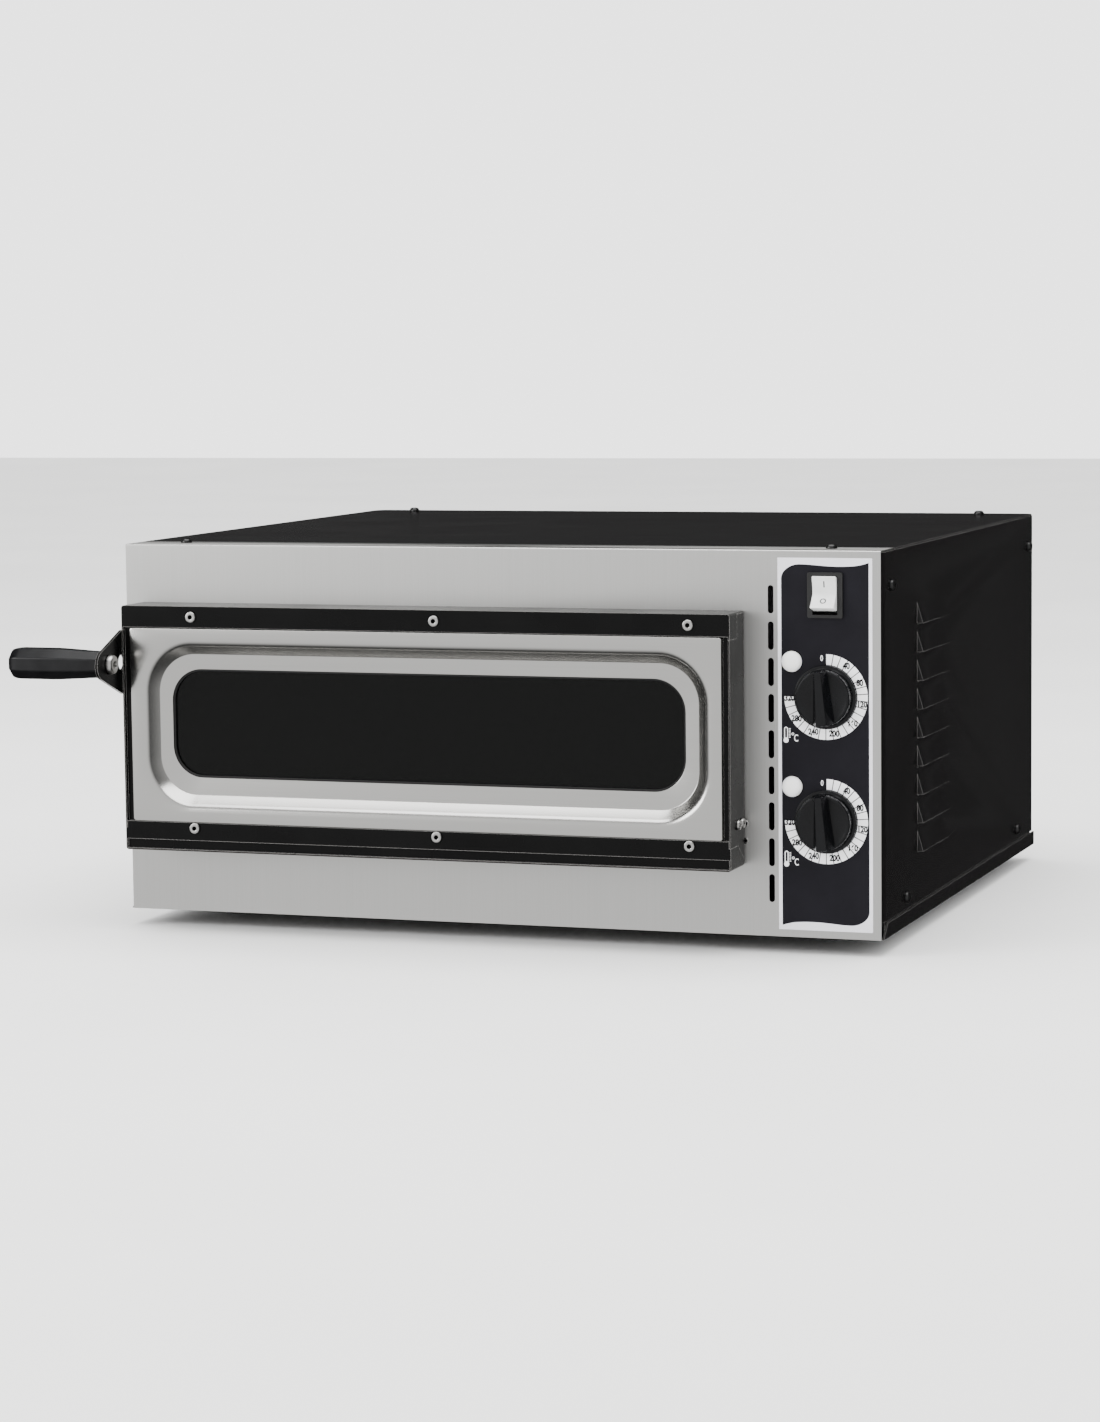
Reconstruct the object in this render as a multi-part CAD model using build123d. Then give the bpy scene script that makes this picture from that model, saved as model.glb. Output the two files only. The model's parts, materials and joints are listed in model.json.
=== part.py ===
from build123d import *
from math import cos, radians, sin
import os

# Countertop electric pizza oven with one baking chamber, in millimetres.
# +X is the oven's right, the door faces -Y, +Z is up.
# The origin is the centre of the footprint, on the surface that the feet stand on.

# Casing
body_width = 568.0
body_depth = 500.0
body_height = 268.0
foot_height = 12.0
sheet = 1.2
front_bend = 7.0
rear_bend = 10.0
front_flange = 9.0
rear_flange = 22.0
fascia_inset = 1.4
fascia_return = 36.0
tray_wall_height = 34.0
tray_lip_height = 10.3
tray_panel_gap = 1.7
tray_lip_nose = (3.0, 2.4)
tray_lip_slope = 12.0
top_screw_from_side = 41.0
top_screw_from_end = 20.0
upper_side_screw = (24.0, 25.0)
lower_side_screw = (66.0, 20.6)
rear_screw_from_side = 14.0
rear_screw_from_end = 46.0
ledge_width = 14.0
top_panel_gap = 0.6
top_strip_inset = 16.0
top_strip_lap = 8.0
vent_rows = 7
vent_height = 5.0
vent_from_side = 14.0
tray_vent_from_back = 110.0
tray_vent_pitch = 16.0
rear_vent_below_top = 40.0
rear_vent_pitch = 14.0
rear_vent_from_side = 22.0
joint_gap = 0.2

# Louvres in the right side panel
louvre_count = 9
louvre_length = 80.0
louvre_height = 15.0
louvre_depth = 4.5
louvre_wall = 1.0
louvre_pitch = 20.3
louvre_centre_from_front = 139.0
louvre_top_below_top = 42.0

# Control column, measured from the right edge and from the top of the body
dial_from_right = 40.0
lamp_from_right = 64.0
slot_from_right = 79.1
bulkhead_from_right = 88.0
switch_below_top = 30.6
lamp_below_top = (76.5, 163.0)
dial_below_top = (100.6, 186.7)
slot_count = 9
slot_width = 4.0
slot_height = 19.5
slot_pitch = 25.05
slot_below_top = 34.0
label_width = 66.8
label_height = 257.6
label_thickness = 0.4
label_from_right = 7.2

# Baking chamber
chamber_width = 405.0
chamber_depth = 405.0
chamber_height = 110.0
chamber_sheet = 1.0
chamber_flange = 12.0
stone_top_lift = 82.0
stone_thickness = 14.0
stone_clearance = 2.5
stone_lip = 2.0
support_height = 16.0
element_radius = 4.0
element_bend = 25.0
element_lift = 8.0
element_drop = 14.0
element_run_gap = 100.0
stud_radius = 2.0
insulation_gap = 8.0
element_from_wall = 34.0
element_stub = 8.0
stud_length = 10.0
clip_offsets = (-90.0, 60.0)
clip_width = 10.0
clip_length = 12.0
clip_drop = 6.0
support_inset = (16.0, 12.0)
support_size = (20.0, 16.0)
support_sheet = 1.5
stone_chamfer = 1.5
passage_clearance = 1.0
bulb_neck = 12.0
capillary_bend = 30.0
bulkhead_foot = 14.0
bulkhead_front_gap = 4.0
bulkhead_back_gap = 6.0
bulb_radius = 2.5
bulb_length = 90.0
capillary_radius = 1.0

# Door
door_width = 456.0
door_height = 177.0
door_depth = 35.0
door_gap = 1.0
door_from_left = 14.0
door_lift = 49.0
door_sheet = 1.2
door_corner = 2.0
top_strip = 15.5
bottom_strip = 21.0
low_rear_corner = 3.0
end_seam_height = 16.0
end_seam_low = 4.0
end_seam_depth = 18.0
top_end_height = 17.7
side_fold_setback = 3.0
side_fold_gap = 0.3
face_screw_drop = 7.8
face_screw_rise = 4.1
face_screw_from_left = (54.8, 240.8, 426.5)
flange_screw_from_left = (54.5, 233.5, 411.5)
flange_screw_setback = 4.5
groove_height = 8.0
groove_depth = 3.0
window_frame_width = 444.0
window_frame_height = 140.0
window_frame_lift = 21.0
window_frame_sheet = 1.0
window_frame_flange = 13.0
recess_depth = 10.0
recess_border = 8.5
recess_slope = 10.5
recess_corner = 38.0
window_corner = 23.0
window_lift = 52.6
window_width = 386.5
window_height = 78.4
glass_thickness = 4.0
glass_cover = 6.0
panel_tuck = 5.0
gasket_thickness = 2.0
gasket_peek = 1.5
seal_width = 7.0
seal_thickness = 0.5
seal_margin = 2.0

# Hinge: a pin along X near the door's bottom edge, in a lug that comes through the fascia
hinge_setback = 25.0
hinge_rise = 7.0
hinge_pin_radius = 3.0
pin_clearance = 0.05
lug_thickness = 3.0
lug_radius = 5.0
arm_thickness = 2.5
hinge_side_gap = 0.5
sweep_clearance = 0.6
bracket_reach = 9.0
bracket_drop = 7.0
bracket_climb = 28.0
bracket_thickness = 2.0
bracket_screw_rises = (10.0, 22.0)
arm_height = 37.0
arm_eye_radius = 5.2
arm_back_gap = 3.5
arm_heel_lift = 24.0
arm_neck = 14.0
pin_head_radius = 4.4
pin_head_length = 1.5
hinge_screw_setbacks = (18.0, 8.5)
hinge_screw_lift = 30.5
bean_radius = 38.0
bean_width = 9.0
bean_turns = (0, 10, 20, 30)

# Handle
plate_thickness = 2.0
plate_half_height = 23.0
plate_nose_radius = 10.5
plate_nose_reach = 30.0
handle_drop = 41.0
plate_hole_radius = 5.5
plate_hole_setback = -0.8
plate_tail = 24.0
plate_screw_setback = 14.0
plate_screw_spread = 14.0
grip_screw_reach = 21.0
grip_length = 75.0
grip_thin = 9.2
grip_thick = 11.2
grip_taper = 36.0
grip_sides = 8
grip_end = 5.0
grip_end_taper = 4.0

# Knobs, switch and lamps
shaft_radius = 3.0
bush_radius = 4.5
bush_clearance = 0.3
knob_radius = 19.5
knob_height = 10.0
knob_skirt_radius = 22.0
knob_skirt_height = 2.5
knob_bar_height = 8.0
knob_bar_top = 10.4
knob_bar_bottom = 16.4
knob_bar_ridge = 0.42
knob_rest_turn = -4.0
knob_float = 0.5
thermostat_size = 34.0
thermostat_depth = 26.0
lens_radius = 7.2
lens_height = 4.5
lamp_body_radius = 5.0
lamp_body_length = 26.0
switch_width = 25.0
switch_height = 31.3
bezel_thickness = 2.2
bezel_wall = 2.2
switch_body_depth = 22.0
rocker_half_height = 11.2
rocker_crown = 5.0
rocker_end = 10.0
rocker_tilt = 15.0
rocker_side_gap = 0.4
trunnion_radius = 1.2

# Screws: head radius, head height, shank radius, shank length
casing_screw = (4.0, 3.2, 2.0, 7.0)
face_screw = (4.0, 1.8, 2.0, 8.0)
flange_screw = (2.3, 1.2, 1.25, 4.0)
hinge_screw = (3.6, 2.2, 2.0, 7.0)
grip_screw = (7.0, 4.4, 4.0, 40.0)
foot_screw = (4.5, 2.6, 2.5, 9.0)
hole_clearance = 0.15
socket_depth_share = 0.6

# Feet and cable gland
foot_radius = 14.0
foot_taper = 2.0
foot_side_inset = 55.0
foot_front_inset = 75.0
foot_back_inset = 60.0
foot_pocket_height = 8.0
foot_pocket_gap = 1.0
gland_radius = 11.0
gland_length = 18.0
gland_flats = 26.0
gland_flange = 5.0
gland_thread = 9.5
gland_bore = 4.5
gland_thread_length = 12.0
gland_dome_round = 4.0
gland_bore_length = 60.0
gland_from_right = 52.0
gland_lift = 40.0
terminal_size = (44.0, 18.0, 22.0)
terminal_from_back = 82.0
terminal_screw_pitch = 14.0
terminal_screw_radius = 3.0
terminal_screw_depth = 5.0

# Places worked out from the sizes above
left = -body_width / 2
right = body_width / 2
front = -body_depth / 2
back = body_depth / 2
bottom = foot_height
top = foot_height + body_height
inner_front = front + sheet
door_left = left + door_from_left
door_right = door_left + door_width
door_middle = (door_left + door_right) / 2
door_back = front - door_gap
door_front = door_back - door_depth
door_bottom = bottom + door_lift
door_top = door_bottom + door_height
chamber_left = door_middle - chamber_width / 2
chamber_right = door_middle + chamber_width / 2
chamber_back = inner_front + chamber_depth
stone_top = bottom + stone_top_lift
stone_bottom = stone_top - stone_thickness
chamber_floor = stone_bottom - support_height
chamber_roof = stone_top + chamber_height
bulkhead_x = right - bulkhead_from_right
dial_x = right - dial_from_right
lamp_x = right - lamp_from_right
hinge_y = door_back - hinge_setback
hinge_z = door_bottom + hinge_rise
arm_outer = door_right - door_sheet
lug_outer = arm_outer - arm_thickness - hinge_side_gap
lug_inner = lug_outer - lug_thickness
window_middle_z = door_bottom + window_lift + window_height / 2
window_frame_bottom = door_bottom + window_frame_lift
window_frame_middle_z = window_frame_bottom + window_frame_height / 2
ring_front = door_front + recess_depth
ring_back = ring_front + window_frame_sheet
glass_front = ring_back + gasket_thickness
glass_back = glass_front + glass_thickness
handle_z = door_top - handle_drop
handle_y = door_front - grip_screw_reach
plate_outer = door_left - plate_thickness
switch_z = top - switch_below_top
rocker_pivot_y = front + 1.0
upper_element_z = chamber_roof - element_drop
lower_element_z = chamber_floor + element_lift
face_screw_xs = [door_left + x for x in face_screw_from_left]
flange_screw_xs = [door_left + x for x in flange_screw_from_left]
face_screw_zs = (door_top - face_screw_drop, door_bottom + bottom_strip - face_screw_rise)


def block(x0, x1, y0, y1, z0, z1):
    """A box from its lowest corner to its highest."""
    middle = Pos((x0 + x1) / 2, (y0 + y1) / 2, (z0 + z1) / 2)
    return middle * Box(x1 - x0, y1 - y0, z1 - z0)


def rod(start, direction, radius, length):
    """A cylinder from a point, along a direction."""
    base = Plane(origin=start, z_dir=direction)
    return base * Cylinder(radius, length, align=(Align.CENTER, Align.CENTER, Align.MIN))


def rounded(x, z, width, height, radius, y0, y1):
    """A rounded rectangle seen from the front, extruded from y0 back to y1."""
    facing = Plane(origin=(x, y1, z), x_dir=(1, 0, 0), z_dir=(0, -1, 0))
    return extrude(facing * RectangleRounded(width, height, radius), amount=y1 - y0)


def side_profile(points, x, thickness):
    """An outline of (y, z) points, extruded along +X from x."""
    facing = Plane(origin=(x, 0, 0), x_dir=(0, 1, 0), z_dir=(1, 0, 0))
    return extrude(facing * make_face(Polyline(*points, close=True)), amount=thickness)


def front_profile(points, y, thickness):
    """An outline of (x, z) points, extruded along -Y from y."""
    facing = Plane(origin=(0, y, 0), x_dir=(1, 0, 0), z_dir=(0, -1, 0))
    return extrude(facing * make_face(Polyline(*points, close=True)), amount=thickness)


def mirrored(shape):
    """The same piece for the left end of the door."""
    return mirror(shape, about=Plane(origin=(door_middle, 0, 0), z_dir=(1, 0, 0)))


def group(shapes):
    """Separate solids that share one node."""
    return Compound(children=[shape.solid() for shape in shapes])


def screw(point, outward, size):
    """A domed socket screw whose head stands on the surface at point."""
    head_radius, head_height, shank_radius, shank_length = size
    inward = tuple(-value for value in outward)
    head = rod(point, outward, head_radius, head_height)
    rim = head.edges().filter_by(GeomType.CIRCLE).sort_by(Axis(point, outward))[-1]
    head = fillet(rim, head_height * 0.55)
    top_of_head = tuple(p + head_height * d for p, d in zip(point, outward))
    socket = rod(top_of_head, inward, head_radius * 0.38, head_height * socket_depth_share)
    return head + rod(point, inward, shank_radius, shank_length) - socket


def screw_hole(point, outward, size):
    """The clearance hole for a screw's shank."""
    start = tuple(p + d for p, d in zip(point, outward))
    inward = tuple(-value for value in outward)
    return rod(start, inward, size[2] + hole_clearance, size[3] + 2.0)


def top_screw_places():
    """Screws down through the top panel: two at the front and two at the back."""
    xs = (left + top_screw_from_side, right - top_screw_from_side)
    ys = (front + top_screw_from_end, back - top_screw_from_end)
    return [(x, y, top) for x in xs for y in ys]


def side_screw_places(x):
    """Four screws in one side panel."""
    inset, drop = upper_side_screw
    upper = [(x, y, top - drop) for y in (front + inset, back - inset)]
    inset, rise = lower_side_screw
    return upper + [(x, y, bottom + rise) for y in (front + inset, back - inset)]


def rear_screw_places():
    """Screws through both rear flanges into the rear panel."""
    heights = (bottom + rear_screw_from_end, bottom + body_height / 2, top - rear_screw_from_end)
    xs = (left + rear_screw_from_side, right - rear_screw_from_side)
    return [(x, back, z) for x in xs for z in heights]


def foot_places():
    """Centres of the four feet."""
    ys = (front + foot_front_inset, back - foot_back_inset)
    return [(x, y) for x in (left + foot_side_inset, right - foot_side_inset) for y in ys]


# Casing ---------------------------------------------------------------------

def base_tray():
    """Folded steel tray that carries the chamber and the feet."""
    tray = block(left + sheet, right - sheet, inner_front, back - 2 * sheet, bottom, bottom + sheet)
    for side in (-1, 1):
        outer = side * (body_width / 2)
        wall = sorted((outer - side * sheet, outer - side * 2 * sheet))
        lip = sorted((outer, outer - side * sheet))
        tray += block(*wall, inner_front + front_bend, back - rear_bend, bottom, bottom + tray_wall_height)
        edge = [(inner_front, bottom), (back, bottom), (back, bottom + tray_lip_height),
                (inner_front + tray_lip_slope, bottom + tray_lip_height),
                (inner_front + tray_lip_nose[0], bottom + tray_lip_nose[1])]
        tray += side_profile(edge, lip[0], sheet)
    for x, y in foot_places():
        tray -= screw_hole((x, y, bottom), (0, 0, -1), foot_screw)
    for place in side_screw_places(right):
        tray -= screw_hole(place, (1, 0, 0), casing_screw)
    for place in side_screw_places(left):
        tray -= screw_hole(place, (-1, 0, 0), casing_screw)
    for step in range(vent_rows):
        y = back - tray_vent_from_back - step * tray_vent_pitch
        tray -= block(bulkhead_x + vent_from_side, right - vent_from_side, y - vent_height / 2, y + vent_height / 2,
                      bottom - 1, bottom + sheet + 1)
    return tray


def side_shell():
    """Plain right side panel: a flat sheet with bent vertical edges and turned-in flanges."""
    z0 = bottom + tray_lip_height + tray_panel_gap
    z1 = top - sheet
    depth = 2 * rear_flange
    outer = block(right - 2 * depth, right, inner_front, back, z0, z1)
    outer = fillet(outer.edges().filter_by(Axis.Z).group_by(Axis.X)[-1].sort_by(Axis.Y)[0], front_bend)
    outer = fillet(outer.edges().filter_by(Axis.Z).group_by(Axis.X)[-1].sort_by(Axis.Y)[-1], rear_bend)
    inner = block(right - 3 * depth, right - sheet, inner_front + sheet, back - sheet, z0 - 1, z1 + 1)
    inner = fillet(inner.edges().filter_by(Axis.Z).group_by(Axis.X)[-1].sort_by(Axis.Y)[0],
                   front_bend - sheet)
    inner = fillet(inner.edges().filter_by(Axis.Z).group_by(Axis.X)[-1].sort_by(Axis.Y)[-1],
                   rear_bend - sheet)
    ledge = outer & block(right - ledge_width, right, inner_front, back, z1 - sheet, z1)
    shell = (outer - inner) & block(right - rear_flange, right + 1, front, back + 1, z0, z1)
    shell -= block(right - rear_flange - 1, right - front_flange, front, 0, z0 - 1, z1 + 1)
    return shell + ledge


def side_screw_holes(shell, x, outward):
    """Cut the screw holes of one side panel, its rear flange and its top ledge."""
    for place in side_screw_places(x):
        shell -= screw_hole(place, outward, casing_screw)
    for place in rear_screw_places():
        shell -= screw_hole(place, (0, 1, 0), casing_screw)
    return shell


def side_panel_right():
    """Right side panel, with pressed louvres that open downwards."""
    panel = side_screw_holes(side_shell(), right, (1, 0, 0))
    y = front + louvre_centre_from_front
    half = louvre_length / 2
    for step in range(louvre_count):
        z1 = top - louvre_top_below_top - step * louvre_pitch
        z0 = z1 - louvre_height
        hood = [(right - sheet, z1), (right, z1), (right + louvre_depth, z0), (right - sheet, z0)]
        hollow = [(right - sheet - 1, z1 - 2 * louvre_wall), (right - sheet, z1 - 2 * louvre_wall),
                  (right + louvre_depth - louvre_wall, z0), (right + louvre_depth - louvre_wall, z0 - 1),
                  (right - sheet - 1, z0 - 1)]
        panel += front_profile(hood, y + half, louvre_length)
        panel -= front_profile(hollow, y + half - louvre_wall, louvre_length - 2 * louvre_wall)
    return panel


def side_panel_left():
    """Left side panel, plain."""
    shell = mirror(side_shell(), about=Plane.YZ)
    return side_screw_holes(shell, left, (-1, 0, 0))


def top_panel():
    """Top panel, with a lowered front strip that goes under the fascia's top return."""
    gap = top_panel_gap
    panel = block(left + gap, right - gap, front + fascia_return + joint_gap, back, top - sheet, top)
    panel = fillet(panel.edges().filter_by(Axis.Z).sort_by(Axis.Y)[-2:], rear_bend - gap)
    panel += block(left + top_strip_inset, right - top_strip_inset, inner_front + top_strip_lap,
                   front + fascia_return + top_strip_lap, top - 2 * sheet, top - sheet)
    for place in top_screw_places():
        panel -= screw_hole(place, (0, 0, 1), casing_screw)
    return panel


def rear_panel():
    """Rear panel with vent slots behind the control compartment and the cable entry."""
    panel = block(left + sheet + joint_gap, right - sheet - joint_gap, back - 2 * sheet, back - sheet,
                  bottom + sheet, top - 2 * sheet)
    for x0, x1 in ((left, left + rear_bend), (right - rear_bend, right)):
        panel -= block(x0, x1, back - 3 * sheet, back, bottom, top)
    for place in rear_screw_places():
        panel -= screw_hole(place, (0, 1, 0), casing_screw)
    for step in range(vent_rows):
        z = top - rear_vent_below_top - step * rear_vent_pitch
        panel -= block(bulkhead_x + vent_from_side, right - rear_vent_from_side, back - 3 * sheet, back,
                       z - vent_height / 2, z + vent_height / 2)
    entry = (right - gland_from_right, back, bottom + gland_lift)
    return panel - rod(entry, (0, -1, 0), gland_thread, 5)


def mouth(y0, y1):
    """The opening that the pizza goes through."""
    return block(chamber_left, chamber_right, y0, y1, stone_top - stone_lip, chamber_roof)


def control_cutouts(y0, y1, margin):
    """Holes for the dial shafts, the lamps and the switch, from y0 back to y1."""
    cuts = [rod((dial_x, y1, top - drop), (0, -1, 0), bush_radius + margin, y1 - y0)
            for drop in dial_below_top]
    cuts += [rod((lamp_x, y1, top - drop), (0, -1, 0), lamp_body_radius + margin, y1 - y0)
             for drop in lamp_below_top]
    half_width = switch_width / 2 - 1.5 + margin
    half_height = switch_height / 2 - 1.5 + margin
    cuts.append(block(dial_x - half_width, dial_x + half_width, y0, y1,
                      switch_z - half_height, switch_z + half_height))
    return cuts


def bracket_screw_places():
    """Two screws through the fascia into the right hinge bracket."""
    return [(lug_outer + bracket_reach / 2, front, hinge_z + dz) for dz in bracket_screw_rises]


def front_panel():
    """Brushed stainless fascia with the chamber mouth, vent slots and control holes."""
    panel = block(left + fascia_inset, right - fascia_inset, front, inner_front, bottom, top)
    panel += block(left + fascia_inset, right - fascia_inset, front, front + fascia_return, top - sheet, top)
    panel = fillet(panel.edges().filter_by(Axis.X).group_by(Axis.Y)[0].sort_by(Axis.Z)[-1], sheet * 0.9)
    panel -= mouth(front - 1, inner_front + 1)
    for step in range(slot_count):
        z = top - slot_below_top - step * slot_pitch
        panel -= rounded(right - slot_from_right, z, slot_width, slot_height, slot_width / 2 - 0.01,
                         front - 1, inner_front + 1)
    for cut in control_cutouts(front - 1, inner_front + 1, bush_clearance):
        panel -= cut
    slot = block(lug_inner - hinge_side_gap, lug_outer + hinge_side_gap, front - 1, inner_front + 1,
                 hinge_z - lug_radius - hinge_side_gap, hinge_z + lug_radius + hinge_side_gap)
    panel -= slot
    panel -= mirrored(slot)
    for place in bracket_screw_places():
        hole = screw_hole(place, (0, -1, 0), flange_screw)
        panel -= hole
        panel -= mirrored(hole)
    for place in top_screw_places():
        panel -= screw_hole(place, (0, 0, 1), casing_screw)
    return panel


def control_label():
    """Printed polycarbonate overlay round the controls."""
    x1 = right - label_from_right
    z1 = top - (body_height - label_height) / 2
    label = block(x1 - label_width, x1, front - label_thickness, front, z1 - label_height, z1)
    for cut in control_cutouts(front - 2, front + 1, bush_clearance):
        label -= cut
    return label


def rubber_feet():
    """Four moulded feet with a pocket for the screw head."""
    feet = []
    for x, y in foot_places():
        foot = Pos(x, y, 0) * Cone(foot_radius - foot_taper, foot_radius, foot_height,
                                   align=(Align.CENTER, Align.CENTER, Align.MIN))
        pocket = rod((x, y, 0), (0, 0, 1), foot_screw[0] + foot_pocket_gap, foot_pocket_height)
        shank = rod((x, y, 0), (0, 0, 1), foot_screw[2] + hole_clearance, foot_height)
        feet.append(foot - pocket - shank)
    return group(feet)


def foot_screws():
    """One screw up through each foot into the tray."""
    return group(screw((x, y, foot_pocket_height), (0, 0, -1), foot_screw) for x, y in foot_places())


# Chamber and heating --------------------------------------------------------

def element_ends():
    """Depths at which an element's two ends leave the chamber's right wall."""
    middle = (inner_front + chamber_back) / 2
    return middle - 1.5 * element_run_gap, middle + 1.5 * element_run_gap


def wall_passages():
    """Where the elements and bulbs pass through the chamber's right wall, with their radii."""
    passages = []
    for z in (upper_element_z, lower_element_z):
        passages += [((chamber_right - 2, y, z), element_radius) for y in element_ends()]
        passages.append(((chamber_right - 2, bulb_y(), z), bulb_radius))
    return passages


def bulb_y():
    """Depth of the thermostat bulbs, midway between two runs of an element."""
    return element_ends()[0] + element_run_gap / 2


def chamber_liner():
    """Aluminised steel box, open at the front, with a flange behind the fascia."""
    wall = chamber_sheet
    shell = block(chamber_left - wall, chamber_right + wall, inner_front, chamber_back + wall,
                  chamber_floor - wall, chamber_roof + wall)
    shell += block(chamber_left - chamber_flange, chamber_right + chamber_flange, inner_front,
                   inner_front + wall, chamber_floor - chamber_flange / 2, chamber_roof + chamber_flange)
    shell -= block(chamber_left, chamber_right, inner_front - 1, chamber_back, chamber_floor, chamber_roof)
    for start, radius in wall_passages():
        shell -= rod(start, (1, 0, 0), radius + bush_clearance, 8)
    return shell


def baking_stone():
    """Refractory baking deck."""
    gap = stone_clearance
    stone = block(chamber_left + gap, chamber_right - gap, inner_front + gap, chamber_back - gap,
                  stone_bottom, stone_top)
    return chamfer(stone.edges().group_by(Axis.Z)[-1], stone_chamfer)


def stone_supports():
    """Folded steel posts under the stone's edges and middle."""
    posts = []
    half_x, half_y = support_size[0] / 2, support_size[1] / 2
    for x in (chamber_left + support_inset[0], door_middle, chamber_right - support_inset[0]):
        for y in (inner_front + support_inset[1], chamber_back - support_inset[1]):
            post = block(x - half_x, x + half_x, y - half_y, y + half_y, chamber_floor, stone_bottom)
            hollow = block(x - half_x - 1, x + half_x + 1, y - half_y + support_sheet, y + half_y - support_sheet,
                           chamber_floor - 1, stone_bottom - support_sheet)
            posts.append(post - hollow)
    return group(posts)


def element(z):
    """A tubular heating element: four runs across the chamber, both ends through the right wall."""
    first, last = element_ends()
    near = chamber_left + element_from_wall
    far = chamber_right - element_from_wall
    outside = bulkhead_x + element_stub
    second = first + element_run_gap
    third = second + element_run_gap
    route = [(outside, first, z), (near, first, z), (near, second, z), (far, second, z),
             (far, third, z), (near, third, z), (near, last, z), (outside, last, z)]
    path = FilletPolyline(*route, radius=element_bend)
    start = Plane(origin=route[0], z_dir=(-1, 0, 0))
    tube = sweep(start * Circle(element_radius), path=path)
    for y in (first, last):
        tube += rod((outside - 1, y, z), (1, 0, 0), stud_radius, stud_length + 1)
    return tube


def element_clips():
    """Strips from the chamber roof that hold up the upper element."""
    clips = []
    first, last = element_ends()
    for y in (first, first + element_run_gap, last - element_run_gap, last):
        for x in (door_middle + offset for offset in clip_offsets):
            strip = block(x - clip_width / 2, x + clip_width / 2, y - clip_length / 2, y + clip_length / 2,
                          upper_element_z - clip_drop, chamber_roof)
            clips.append(strip - rod((x - clip_width, y, upper_element_z), (1, 0, 0), element_radius, 2 * clip_width))
    return group(clips)


def chamber_insulation():
    """Five slabs of mineral wool that fill the space between the chamber and the casing."""
    x0 = left + insulation_gap
    x1 = bulkhead_x - 1
    y0 = inner_front + insulation_gap
    y1 = back - insulation_gap
    under = chamber_floor - chamber_sheet
    over = chamber_roof + chamber_sheet
    beside_left = chamber_left - chamber_sheet
    beside_right = chamber_right + chamber_sheet
    behind = chamber_back + chamber_sheet
    right_slab = block(beside_right, x1, y0, behind, under, over)
    for start, radius in wall_passages():
        right_slab -= rod(start, (1, 0, 0), radius + passage_clearance, right - chamber_right)
    return group([
        block(x0, x1, y0, y1, bottom + insulation_gap, under),
        block(x0, x1, y0, y1, over, top - 1.5 * insulation_gap),
        block(x0, beside_left, y0, behind, under, over),
        block(x0, x1, behind, y1, under, over),
        right_slab,
    ])


def bulkhead():
    """Sheet between the hot side and the control compartment."""
    y0 = inner_front + bulkhead_front_gap
    y1 = back - bulkhead_back_gap
    plate = block(bulkhead_x, bulkhead_x + sheet, y0, y1, bottom + sheet, top - 3 * sheet)
    foot = block(bulkhead_x, bulkhead_x + bulkhead_foot, y0, y1, bottom + sheet, bottom + 2 * sheet)
    for start, radius in wall_passages():
        plate -= rod(start, (1, 0, 0), radius + passage_clearance, right - chamber_right)
    return plate + foot


# Controls -------------------------------------------------------------------

def thermostat(dial_z):
    """Capillary thermostat body with its bush through the fascia."""
    half = thermostat_size / 2
    y0 = inner_front
    body = block(dial_x - half, dial_x + half, y0, y0 + thermostat_depth, dial_z - half, dial_z + half)
    body = fillet(body.edges().filter_by(Axis.Y), 3)
    body += rod((dial_x, y0, dial_z), (0, -1, 0), bush_radius, sheet + label_thickness)
    return body - rod((dial_x, front - 3, dial_z), (0, 1, 0), shaft_radius + pin_clearance, 22)


def thermostat_shaft(dial_z):
    """Steel spindle that the knob is pushed onto."""
    return rod((dial_x, front - 9, dial_z), (0, 1, 0), shaft_radius, 25)


def thermostat_bulb(dial_z, bulb_z):
    """Sensing bulb in the chamber, with its capillary back to the thermostat."""
    rear = inner_front + thermostat_depth + joint_gap
    start_z = min(max(bulb_z, dial_z - 12), dial_z + 12)
    start = (dial_x, rear, start_z)
    corner = (dial_x, bulb_y(), bulb_z)
    neck = (chamber_right - bulb_neck, bulb_y(), bulb_z)
    path = FilletPolyline(start, corner, neck, radius=capillary_bend)
    tube = sweep(Plane(origin=start, z_dir=path % 0) * Circle(capillary_radius), path=path)
    return tube + rod(neck, (-1, 0, 0), bulb_radius, bulb_length)


def knob(dial_z):
    """Round knob with a tapered grip bar across its face, pushed onto the spindle."""
    base_y = front - label_thickness - knob_float
    face_y = base_y - knob_height
    body = rod((dial_x, base_y, dial_z), (0, -1, 0), knob_radius, knob_height)
    body = fillet(body.edges().filter_by(GeomType.CIRCLE).sort_by(Axis.Y)[0], 1.2)
    body += rod((dial_x, base_y, dial_z), (0, -1, 0), knob_skirt_radius, knob_skirt_height)
    reach = knob_radius - 1.0

    def bar_outline(y, share):
        """The bar's outline at one depth, narrower at its pointer end."""
        upper = knob_bar_top / 2 * share
        lower = knob_bar_bottom / 2 * share
        facing = Plane(origin=(dial_x, y, dial_z), x_dir=(1, 0, 0), z_dir=(0, -1, 0))
        points = [(-lower, -reach), (lower, -reach), (upper, reach), (-upper, reach)]
        return facing * make_face(Polyline(*points, close=True))

    bar = loft([bar_outline(face_y + 1, 1.0), bar_outline(face_y - knob_bar_height, knob_bar_ridge)])
    bar &= rod((dial_x, base_y, dial_z), (0, -1, 0), knob_radius, knob_height + knob_bar_height + 1)
    body += bar
    body -= rod((dial_x, base_y + 1, dial_z), (0, -1, 0), shaft_radius, 10)
    turn = Axis((dial_x, front, dial_z), (0, 1, 0))
    return body.rotate(turn, knob_rest_turn)


def lamp_lens(z):
    """Domed translucent lens of an indicator lamp."""
    lens = rod((lamp_x, front - label_thickness, z), (0, -1, 0), lens_radius, lens_height)
    rim = lens.edges().filter_by(GeomType.CIRCLE).sort_by(Axis.Y)[0]
    return fillet(rim, lens_height * 0.7)


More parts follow.
